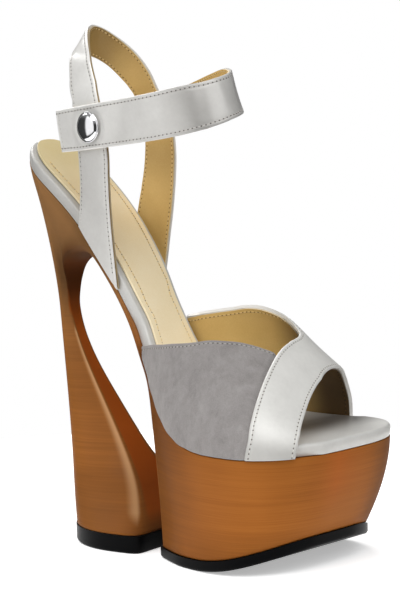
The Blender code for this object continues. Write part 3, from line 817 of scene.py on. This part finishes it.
def sew(name, tracks, pitch, thread, hole, facing=1.0, thread_wide=0.55, hole_wide=0.62):
    """Stitches along every track, `pitch` millimetres apart."""
    whole = bmesh.new()
    total = 0
    for track in tracks:
        points = [track(k / ROW_SAMPLES) for k in range(ROW_SAMPLES + 1)]
        run = [0.0]
        for (a, _), (b, _) in zip(points, points[1:]):
            run.append(run[-1] + (b - a).length)
        count = max(2, round(run[-1] / pitch))
        thread_size = (THREAD_SHARE * run[-1] / count, 0.5 * thread_wide, THREAD_HIGH)
        hole_size = (0.5 * hole_wide, 0.5 * hole_wide, HOLE_HIGH)
        for half in range(2 * count + 1):
            goal = run[-1] * half / (2 * count)
            i = min(bisect_right(run, goal) - 1, ROW_SAMPLES - 1)
            t = (goal - run[i]) / max(run[i + 1] - run[i], 1e-9)
            centre = points[i][0].lerp(points[i + 1][0], t)
            up = points[i][1].lerp(points[i + 1][1], t).normalized() * facing
            ahead = (points[i + 1][0] - points[i][0]).normalized()
            axes = (ahead, up.cross(ahead).normalized(), up)
            if half % 2:
                lay(whole, THREAD_BEAD, centre, axes, thread_size)
            else:
                lay(whole, HOLE_BEAD, centre, axes, hole_size)
        total += count
    made = put_in_scene(name, whole, thread, hole)
    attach(made, "root")
    print(name, total, "stitches")
    return made


# %% [markdown]
# ## Vamp
# The upper over the toes is two hides: a suede side panel, and a pearl leather band that laps over
# its front edge, crosses the toes and widens down the inner side.  A tan lining runs inside both
# and stops a little short of the edges, so the turned leather shows as a pale line.  All three
# stand on one rule, the arch over the last, at different heights.

# %% The arch over the last
TOE_START = 150.0
TOE_TIP = 181.5
TOE_POWER = 2.6
VAMP_INSET = 1.6
ARCH_CENTRE = 2.4
ARCH_OUTER_POWER = 2.14
ARCH_INNER_POWER = 1.91
FEATHER_GAP = 0.4
FEATHER_SLOPE = 0.25


def half_width(side, x):
    width = smooth(FORM, side, x)
    if x > TOE_START:
        share = min(1.0, (x - TOE_START) / (TOE_TIP - TOE_START))
        return width * (1 - share ** TOE_POWER) ** (1 / TOE_POWER)
    return width


def arch(x, angle):
    """Inner face of the vamp: angle 0 at the outer side of the foot, 180 at the inner."""
    c = math.cos(math.radians(angle))
    s = max(0.0, math.sin(math.radians(angle)))
    base = bed(x) + FEATHER_GAP + FEATHER_SLOPE * abs(bed(x + 0.5) - bed(x - 0.5))
    height = smooth(CROWN, "z", x) - base
    if c > 0:
        width = half_width("lateral", x) - VAMP_INSET + ARCH_CENTRE
        power = ARCH_OUTER_POWER
    else:
        width = half_width("medial", x) - VAMP_INSET - ARCH_CENTRE
        power = ARCH_INNER_POWER
    y = ARCH_CENTRE - math.copysign(width * abs(c) ** (2 / power), c)
    return Vector((x, y, base + height * s))


def on_arch(x, angle, height):
    """A point off the arch; low on the sides, behind the toes, it moves straight out and not back."""
    low, high = max(0.0, angle - 1.0), min(180.0, angle + 1.0)
    along = arch(x + 0.5, angle) - arch(x - 0.5, angle)
    normal = along.cross(arch(x, high) - arch(x, low))
    normal.z = max(normal.z, 0.0)
    steep = (1 - ramp(x, 110.0, 140.0)) * (1 - ramp(min(angle, 180.0 - angle), 0.0, 25.0))
    normal.x *= 1 - steep
    return arch(x, angle) + normal.normalized() * height


print("crown of the vamp at x 150:", round(arch(150.0, 90.0).z, 1), "mm")

# %% Rules of the three hides
SEAM_LAP = 3.0
SUEDE_BEGIN = SUEDE[1][0][0]
SUEDE_STEEPEST = SUEDE[1][-1][1]
EDGE_SHOWS = 0.9
SETTLE_STEPS = 20
HALVINGS = 24
FACE = {"lining": 0.3, "suede": 1.8, "band": 2.4}
HIDE = {"lining": 0.6, "suede": 0.85, "band": 1.45}


def band_place(u, v, height):
    angle = 180.0 * v
    return on_arch(mix(smooth(BAND, "rear", angle), smooth(BAND, "front", angle), u), angle, height)


@lru_cache(maxsize=None)
def suede_top(u):
    """Angle of the top edge of the suede; its run depends on the angle, so it settles in steps."""
    angle = SUEDE[1][0][1]
    for _ in range(SETTLE_STEPS):
        angle = smooth(SUEDE, "top", mix(SUEDE_BEGIN, smooth(BAND, "rear", angle) + SEAM_LAP, u))
    return angle


def suede_place(u, v, height):
    angle = suede_top(u) * v
    return on_arch(mix(SUEDE_BEGIN, smooth(BAND, "rear", angle) + SEAM_LAP, u), angle, height)


@lru_cache(maxsize=None)
def throat(angle):
    """Where the upper begins at this angle: the top edge of the suede, then the rear of the band."""
    if angle >= SUEDE_STEEPEST:
        return smooth(BAND, "rear", angle)
    low, high = SUEDE_BEGIN, smooth(BAND, "rear", angle)
    for _ in range(HALVINGS):
        middle = 0.5 * (low + high)
        if smooth(SUEDE, "top", middle) < angle:
            low = middle
        else:
            high = middle
    return low


def lining_place(u, v, height):
    angle = 180.0 * v
    rear, front = throat(angle), smooth(BAND, "front", angle)
    slope = abs(throat(min(angle + 1, 180.0)) - throat(max(angle - 1, 0.0))) / 2
    run = (arch(rear, min(angle + 1, 180.0)) - arch(rear, max(angle - 1, 0.0))).length / 2
    short = EDGE_SHOWS * math.sqrt(1 + (slope / max(run, 0.2)) ** 2)
    return on_arch(mix(rear + short, front - EDGE_SHOWS, u), angle, height)


print("suede climbs to", SUEDE_STEEPEST, "degrees and laps", SEAM_LAP, "mm under the band")

# %% [markdown]
# Leather pulled over a last isn't even.  Small pleats run up from the sole where it was gathered,
# the suede carries slow hollows, and it dips where it goes under the band.  They are placed here
# one by one in the shoe's own millimetres.

# %% Forms in the vamp
SUEDE_HOLLOWS = (
    # along, up, reach along, reach up, rise in mm
    (0.22, 0.62, 0.10, 0.30, -0.35),
    (0.40, 0.30, 0.12, 0.22, 0.30),
    (0.56, 0.72, 0.12, 0.22, -0.30),
    (0.72, 0.40, 0.10, 0.30, 0.25),
    (0.86, 0.18, 0.08, 0.20, -0.25),
)
SUEDE_PLEAT = 0.10
SUEDE_RUN = 75.0
SUEDE_DIP = 0.75
BAND_PLEAT = 0.08
BAND_CROWN = 0.22
BAND_HOLLOW = 0.18
BAND_SHADE = 0.28
TOE_SHADE = 0.9


def suede_form(u, v):
    rise = sum(d * hump(u, a, ra) * hump(v, b, rb) for a, b, ra, rb, d in SUEDE_HOLLOWS)
    wave = math.sin(58.0 * u + 2.0 * math.sin(9.0 * u))
    pleat = SUEDE_PLEAT * wave * (1 - soft_ramp(v, 0.0, 0.22))
    lap = SEAM_LAP / SUEDE_RUN
    return rise + pleat - SUEDE_DIP * soft_ramp(u, 1 - lap - 0.03, 1 - lap + 0.005)


def band_form(u, v):
    side = min(v, 1 - v)
    pleat = BAND_PLEAT * math.sin(70.0 * v + 11.0 * u) * (1 - soft_ramp(side, 0.0, 0.06))
    crown = BAND_CROWN * hump(u, 0.5, 0.34) * soft_ramp(side, 0.05, 0.2)
    return pleat + crown - BAND_HOLLOW * hump(v, 0.47, 0.035)


def band_shade(u, v):
    """Painted shade darkens the band at its lower end on the outer side, close to the sole."""
    return BAND_SHADE * (1 - soft_ramp(v, 0.03, 0.17))


def toe_shade(u, v):
    """The lining is darkest deep under the band, where no light comes."""
    x = mix(throat(180.0 * v), smooth(BAND, "front", 180.0 * v), u)
    return TOE_SHADE * soft_ramp(x, 116.0, 138.0)


# %% Hides of the vamp
suede = cut_panel("suede_side_panel", suede_place, (96, 44), FACE["suede"], HIDE["suede"],
                  (SUEDE_FINISH, SUEDE_FINISH), ("high",), extra=suede_form)
band = cut_panel("toe_band", band_place, (30, 130), FACE["band"], HIDE["band"],
                 (SOFT_SILVER, SILVER_EDGE), ("start", "end"), extra=band_form, shade=band_shade)
vamp_lining = cut_panel("vamp_lining", lining_place, (60, 110), FACE["lining"], HIDE["lining"],
                        (LINING, CUT_EDGE), inward=True, shade=toe_shade)
for piece, slot in ((suede, "vamp_leather"), (band, "vamp_leather"), (vamp_lining, "tan_lining")):
    stand_for(piece, "vamp")

# %% Seams of the vamp
outer_rows = [
    track_on(band_place, FACE["band"] - SEAM_DEEP, edge, 0.01, 0.985, form=band_form)
    for edge in ("start", "end")
]
sew("vamp_stitches", outer_rows, 2.0, PALE_THREAD, HOLE, hole_wide=0.85)
suede_row = track_on(suede_place, FACE["suede"] - SEAM_DEEP, "high", 0.012, 0.94, form=suede_form)
sew("suede_stitches", [suede_row], 2.0, GREY_THREAD, HOLE, hole_wide=0.9)
throat_row = track_on(lining_place, FACE["lining"], "start", 0.02, 0.98)
sew("vamp_lining_stitches", [throat_row], 2.0, GOLD_THREAD, GOLD_HOLE, -1.0)
toe_row = track_on(lining_place, FACE["lining"], "end", 0.02, 0.98)
sew("toe_lining_stitches", [toe_row], 2.0, TOE_THREAD, GOLD_HOLE, -1.0)

# %% [markdown]
# ## Back strap and ankle band
# Both straps are pearl leather over tan lining, sewn along both edges.  The back strap rises from
# the outer side of the insole, loops behind the ankle and comes down inside.  The ankle band is
# snapped to it and runs round the front.  Each is ruled between two edge curves; the rule's third
# number lifts a point along the outward side.

# %% Rules of the straps
STRAP_THICK = 2.0
STRAP_LINING = 0.7
STRAP_CROWN = 0.25
STRAP_EDGE_SHOWS = 0.35


def edge_points(table, t):
    """The two edges of a strap at t, on smooth curves through the table rows."""
    n = len(table) - 1
    place = min(max(t, 0.0), 0.999999) * n
    i = int(place)
    u = place - i
    out = []
    for a, b, c, d in zip(table[max(i - 1, 0)], table[i], table[i + 1], table[min(i + 2, n)]):
        out.append(0.5 * (2 * b + (c - a) * u + (2 * a - 5 * b + 4 * c - d) * u * u
                          + (3 * b - a - 3 * c + d) * u ** 3))
    return Vector(out[:3]), Vector(out[3:])


def middle_run(table, steps=200):
    """Length of a strap along its middle line."""
    line = [sum(edge_points(table, k / steps), Vector()) / 2 for k in range(steps + 1)]
    return sum((b - a).length for a, b in zip(line, line[1:]))


def strap_rule(table, flip, trim=0.0):
    """A rule for a strap; trim takes that many millimetres off each side."""
    known = {}

    def frame_of(t):
        if t not in known:
            a, b = edge_points(table, t)
            before = sum(edge_points(table, max(t - 0.004, 0.0)), Vector())
            after = sum(edge_points(table, min(t + 0.004, 1.0)), Vector())
            known[t] = a, b, (flip * (after - before).cross(b - a)).normalized()
        return known[t]

    def place(u, v, height):
        a, b, normal = frame_of(u)
        narrow = trim / max((b - a).length, 1e-6)
        w = mix(narrow, 1 - narrow, v)
        return a.lerp(b, w) + normal * (height + STRAP_CROWN * (1 - (2 * w - 1) ** 2))
    return place


print("cut lengths, mm: back strap", round(middle_run(STRAP)), "ankle band", round(middle_run(ANKLE)))

# %% [markdown]
# The straps keep the shape of use: a fold where the loop turns over, slack waves above the band,
# a pressed ring round the snap and soft hollows where the band bends to the front.  Shade is painted
# too: the ankle band is darker where it turns to the front, the lining is darker at the back of the
# ankle, and the back strap is palest, as if lit, on the outer side of its loop.

# %% Forms in the straps
STRAP_CREASES = (
    # along, reach, slant, rise in mm
    (0.335, 0.012, 0.03, -0.40),
    (0.372, 0.016, 0.05, 0.35),
    (0.418, 0.014, -0.03, -0.45),
    (0.478, 0.012, 0.02, -0.35),
    (0.700, 0.020, 0.04, -0.30),
    (0.930, 0.018, 0.05, -0.35),
)
ANKLE_CREASES = (
    (0.060, 0.010, 0.02, -0.12),
    (0.185, 0.016, 0.03, -0.22),
    (0.300, 0.022, -0.04, -0.25),
    (0.392, 0.016, 0.02, -0.35),
    (0.470, 0.020, -0.03, 0.30),
    (0.560, 0.018, 0.02, -0.30),
)
SNAP_RADIUS = 6.7
BEND_AT = 0.55
BEND_REACH = 0.07
BEND_DEEP = 0.9


def creases(rows, u, v):
    return sum(d * hump(u + slant * (v - 0.5), a, reach) for a, reach, slant, d in rows)


def strap_form(u, v):
    return creases(STRAP_CREASES, u, v)


def ankle_bend(u, v):
    """The band caves in a little where it bends to the inner side."""
    hollow = BEND_DEEP * hump(u, BEND_AT, BEND_REACH) * (1 - (2 * v - 1) ** 2)
    return creases(ANKLE_CREASES, u, v) - hollow


def ankle_form(u, v):
    away = (ankle_place(u, v, 0.0) - ankle_place(SNAP_AT, 0.5, 0.0)).length
    ring = -0.30 * hump(away, SNAP_RADIUS, 1.1) + 0.16 * hump(away, SNAP_RADIUS + 2.4, 1.2)
    return ankle_bend(u, v) + ring


def loop_shade(u, v):
    """Painted shade darkens the lining of the loop at the back of the ankle, and on the inner side
    below the band.
    """
    return 0.46 * (1 - soft_ramp(u, 0.53, 0.67)) + 0.26 * hump(u, 0.86, 0.04)


def bend_shade(u, v):
    """Painted shade darkens the ankle band a little all over, and most where it turns to the front."""
    return 0.1 + 0.1 * soft_ramp(u, 0.14, 0.24) + 0.3 * hump(u, 0.375, 0.06)


def strap_shade(u, v):
    """Painted shade darkens the back strap, except on the outer side of its loop above the band, which
    stays palest as if lit.
    """
    return 0.14 * (1 - soft_ramp(u, 0.22, 0.3) * (1 - soft_ramp(u, 0.5, 0.6)))


# %% Hides of the straps
strap_place = strap_rule(STRAP, 1.0)
ankle_place = strap_rule(ANKLE, -1.0)
outer_hide = STRAP_THICK - STRAP_LINING
strap = cut_panel("back_strap", strap_place, (230, 22), STRAP_THICK, outer_hide, (SILVER, SILVER_EDGE),
                  ("low", "high"), extra=strap_form, shade=strap_shade)
ankle = cut_panel("ankle_band", ankle_place, (220, 26), STRAP_THICK, outer_hide, (SILVER, SILVER_EDGE),
                  ("low", "high", "start"), extra=ankle_form, shade=bend_shade)
strap_in = strap_rule(STRAP, 1.0, STRAP_EDGE_SHOWS)
ankle_in = strap_rule(ANKLE, -1.0, STRAP_EDGE_SHOWS)
strap_lining = cut_panel("back_strap_lining", strap_in, (200, 12), 0.0, STRAP_LINING,
                         (LINING, CUT_EDGE), inward=True, extra=strap_form, shade=loop_shade)
ankle_lining = cut_panel("ankle_band_lining", ankle_in, (180, 12), 0.0, STRAP_LINING,
                         (LINING, CUT_EDGE), inward=True, extra=ankle_bend)
for piece, slot in ((strap, "silver_leather"), (ankle, "silver_leather"),
                    (strap_lining, "tan_lining"), (ankle_lining, "tan_lining")):
    stand_for(piece, "ankle_straps")

# %% Seams of the straps
top = STRAP_THICK - SEAM_DEEP
rows = [track_on(strap_place, top, edge, 0.02, 0.98, form=strap_form) for edge in ("low", "high")]
rows += [track_on(ankle_place, top, edge, 0.008, 0.99, form=ankle_form) for edge in ("low", "high")]
rows += [track_on(ankle_place, top, "start", 0.09, 0.91, form=ankle_form)]
sew("strap_stitches", rows, 2.0, PALE_THREAD, HOLE, hole_wide=0.85)
rows = [track_on(strap_in, 0.0, edge, 0.03, 0.97, 1.0, strap_form) for edge in ("low", "high")]
rows += [track_on(ankle_in, 0.0, edge, 0.02, 0.98, 1.0, ankle_bend) for edge in ("low", "high")]
sew("strap_lining_stitches", rows, 2.0, GOLD_THREAD, GOLD_HOLE, -1.0)

# %% [markdown]
# ## Snap
# The cap of the snap is a stamped dome with a rolled rim.  Its profile is a short line of points
# that is spun round the snap's axis, the way the real cap is formed in a round die.  A flattened
# sphere would be quicker, but it has no rim to catch the light.

# %% Snap cap
SNAP_PROFILE = (
    # share of the radius, height in mm
    (0.00, 0.02), (0.86, 0.02), (0.96, 0.12), (1.00, 0.42), (0.985, 0.72), (0.95, 0.90), (0.90, 0.88),
    (0.875, 1.00), (0.84, 1.38), (0.78, 1.72), (0.68, 2.02), (0.52, 2.30), (0.34, 2.48), (0.17, 2.57),
    (0.00, 2.60),
)
SNAP_PROUD = 0.25


def make_snap():
    foot = ankle_place(SNAP_AT, 0.5, STRAP_THICK + SNAP_PROUD)
    axis = (ankle_place(SNAP_AT, 0.5, 10.0) - ankle_place(SNAP_AT, 0.5, 0.0)).normalized()
    up = (ankle_place(SNAP_AT, 0.0, 0.0) - ankle_place(SNAP_AT, 1.0, 0.0)).normalized()
    mesh = bmesh.new()
    line = [mesh.verts.new(in_scene(foot + up * SNAP_RADIUS * r + axis * h)) for r, h in SNAP_PROFILE]
    edges = [mesh.edges.new(pair) for pair in zip(line, line[1:])]
    bmesh.ops.spin(mesh, geom=line + edges, cent=in_scene(foot), axis=axis, dvec=(0, 0, 0),
                   angle=2 * math.pi, steps=64, use_merge=True)
    bmesh.ops.remove_doubles(mesh, verts=mesh.verts[:], dist=2e-6)
    bmesh.ops.recalc_face_normals(mesh, faces=mesh.faces[:])
    return put_in_scene("snap", mesh, METAL)


snap = stand_for(make_snap(), "snap_cap")
print("snap", len(snap.data.polygons), "faces")

# %% [markdown]
# ## Sock stitching
# The sock is sewn to the insole cover in one row a few millimetres inside its edge, with longer
# stitches than the straps.  The row follows the sock's own outline: up one side, round the heel
# seat and down the other.

# %% Sock stitches
SEAT_BACK = 2.2
SEAT_CENTRE = 21.5
SOCK_TOP = 6.6
SEAT_RISE = 0.47
SEAT_RISE_AT = 18.6
SEAT_RISE_REACH = 4.0
SEAT_SHARE = 0.16
SOCK_FRONT = 118.0
SOCK_ROW = 6.3
VAMP_ROOM = 2.1
VAMP_REAR = {"lateral": 75.0, "medial": 70.0}


def sock_edge(side, x, inset):
    """A point over the footbed, inset millimetres inside the feather line."""
    sign = -1.0 if side == "lateral" else 1.0
    width = smooth(FORM, side, x)
    inset += VAMP_ROOM * ramp(x, VAMP_REAR[side] - 4.0, VAMP_REAR[side])
    px, py = x, sign * (width - inset)
    if x < SEAT_CENTRE:
        share = (SEAT_CENTRE - x) / (SEAT_CENTRE - SEAT_BACK)
        scale = 1 - inset / width
        px = SEAT_CENTRE - (SEAT_CENTRE - x) * scale
        py = sign * width * math.sqrt(max(0.0, 1 - share * share)) * scale
    slope = bed(px + 0.5) - bed(max(px - 0.5, 0.0))
    lean = math.atan(-slope) * ramp(px, 0.0, 30.0)
    normal = Vector((math.sin(lean), 0.0, math.cos(lean)))
    rise = SOCK_TOP + SEAT_RISE * hump(px, SEAT_RISE_AT, SEAT_RISE_REACH)
    return Vector((px, py, bed(px))) + normal * rise, normal


def sock_row(s):
    side = "lateral" if s < 0.5 else "medial"
    along = abs(2 * s - 1)
    if along < SEAT_SHARE:
        x = SEAT_CENTRE - (SEAT_CENTRE - SEAT_BACK) * math.cos(0.5 * math.pi * along / SEAT_SHARE)
    else:
        x = mix(SEAT_CENTRE, SOCK_FRONT - 4.0, (along - SEAT_SHARE) / (1 - SEAT_SHARE))
    return sock_edge(side, x, SOCK_ROW)


sew("sock_stitches", [sock_row], 3.0, GOLD_THREAD, GOLD_HOLE)

# %% [markdown]
# ## Floor, light and camera
# The shoe stands on a plain white floor.  Three soft distant lights, at the toe, high up and behind,
# give it form and a faint shadow.  A tall strip of light in the world, on the outer side, and a pale
# ceiling draw the long reflections on leather and metal, while the rest of the room stays dim, which
# gives the metal cap its dark side.  Only the camera sees plain white behind the shoe.  Lamps with a
# near place would be brighter on one end of the shoe than on the other, so none is used.


# %% Floor
FLOOR_RADIUS = 0.3
FLOOR_DROP = 0.00005
FLOOR_GLOW = 0.40
WHITE = (1.0, 1.0, 1.0, 1.0)


def make_floor():
    mesh = bmesh.new()
    bmesh.ops.create_circle(mesh, cap_ends=True, segments=96, radius=FLOOR_RADIUS,
                            matrix=Matrix.Translation((0.0, 0.0, -FLOOR_DROP)))
    made, at = start_finish("white_floor")
    paper = at.speckle((6.0, 6.0, 6.0), 2.0)
    set_finish(made, Base_Color=paper.blend(hue("f6f6f6"), hue("fafafa")), Roughness=0.85,
               Specular_IOR_Level=0.1, Emission_Color=WHITE, Emission_Strength=FLOOR_GLOW)
    return put_in_scene("floor", mesh, made)


make_floor()
print("floor", 2 * FLOOR_RADIUS, "m across")

# %% Light
SOFT_LIGHTS = (
    # name, azimuth, elevation, angle across in degrees, strength
    ("toe_light", 82.0, 36.0, 50.0, 0.9),
    ("high_light", 28.0, 62.0, 44.0, 1.55),
    ("back_light", -112.0, 42.0, 34.0, 1.7),
)


def direction(azimuth, elevation):
    a, e = math.radians(azimuth), math.radians(elevation)
    return Vector((math.sin(a) * math.cos(e), -math.cos(a) * math.cos(e), math.sin(e)))


def hang_light(name, azimuth, elevation, across, strength):
    """A distant soft light: every place on the floor gets the same share of it."""
    lamp = bpy.data.lights.new(name, "SUN")
    lamp.angle = math.radians(across)
    lamp.energy = strength
    holder = bpy.data.objects.new(name, lamp)
    holder.matrix_world = direction(azimuth, elevation).to_track_quat("Z", "Y").to_matrix().to_4x4()
    bpy.context.scene.collection.objects.link(holder)


for light in SOFT_LIGHTS:
    hang_light(*light)
print(len(SOFT_LIGHTS), "soft lights")

# %% Room
DIM_ROOM = 0.05
CEILING = 0.28
STRIP = 1.2
# Where the strip fades in and out: degrees round the shoe, then height as the sine of elevation
STRIP_TURN = (-46.0, -40.0, 4.0, 14.0)
STRIP_RISE = (-0.45, -0.3, 0.55, 0.75)


def make_world():
    """A dim room with a pale ceiling and one tall strip light, and plain white behind the shoe."""
    made = bpy.data.worlds.new("white_studio")
    made.use_nodes = True
    tree = made.node_tree
    look = Socket(tree).node("ShaderNodeTexCoord", {}, {}, "Generated")
    x, y, rise = (look.node("ShaderNodeSeparateXYZ", {}, {0: look}, axis) for axis in "XYZ")
    turn = x.maths("ARCTAN2", x, y * -1.0)
    a, b, c, d = (math.radians(angle) for angle in STRIP_TURN)
    strip = turn.between(a, b) * turn.between(d, c)
    a, b, c, d = STRIP_RISE
    strip = strip * rise.between(a, b) * rise.between(d, c)
    glow = DIM_ROOM + CEILING * rise.between(0.2, 0.6) + STRIP * strip
    room = look.node("ShaderNodeBackground", {}, {"Color": WHITE, "Strength": glow})
    white = look.node("ShaderNodeBackground", {}, {"Color": WHITE, "Strength": 1.0})
    seen = look.node("ShaderNodeLightPath", {}, {}, "Is Camera Ray")
    both = look.node("ShaderNodeMixShader", {}, {0: seen, 1: room, 2: white})
    tree.links.new(both.out, tree.nodes["World Output"].inputs["Surface"])
    return made


bpy.context.scene.world = make_world()
bpy.context.scene.view_settings.view_transform = "Standard"
print("strip light over", STRIP_TURN[-1] - STRIP_TURN[0], "degrees")

# %% [markdown]
# The camera stands where the picture was taken from, a metre away and a little above the platform.
# Its focal length is given in pixels of the picture, as a fit to its outline gives it.

# %% Camera
PICTURE = (400, 600)
FOCAL_PIXELS = 2310.0
CAMERA_DISTANCE = 1000.0
CAMERA_TARGET = Vector((100.0, -2.0, 108.0))
CAMERA_AZIMUTH = 42.5
CAMERA_ELEVATION = 6.5
CAMERA_ROLL = math.radians(-1.8)


def make_camera():
    back = direction(CAMERA_AZIMUTH, CAMERA_ELEVATION)
    turned = math.radians(CAMERA_AZIMUTH)
    level = Vector((math.cos(turned), math.sin(turned), 0.0))
    upright = back.cross(level)
    right = level * math.cos(CAMERA_ROLL) + upright * math.sin(CAMERA_ROLL)
    up = upright * math.cos(CAMERA_ROLL) - level * math.sin(CAMERA_ROLL)
    lens = bpy.data.cameras.new("picture_camera")
    lens.sensor_width = 36.0
    lens.lens = lens.sensor_width * FOCAL_PIXELS / max(PICTURE)
    lens.clip_start, lens.clip_end = 0.05, 100.0
    holder = bpy.data.objects.new("picture_camera", lens)
    turn = Matrix((right, up, back)).transposed().to_4x4()
    holder.matrix_world = Matrix.Translation(in_scene(CAMERA_TARGET + back * CAMERA_DISTANCE)) @ turn
    bpy.context.scene.collection.objects.link(holder)
    return holder


bpy.context.scene.camera = make_camera()
print("camera at", [round(c, 3) for c in bpy.context.scene.camera.location])
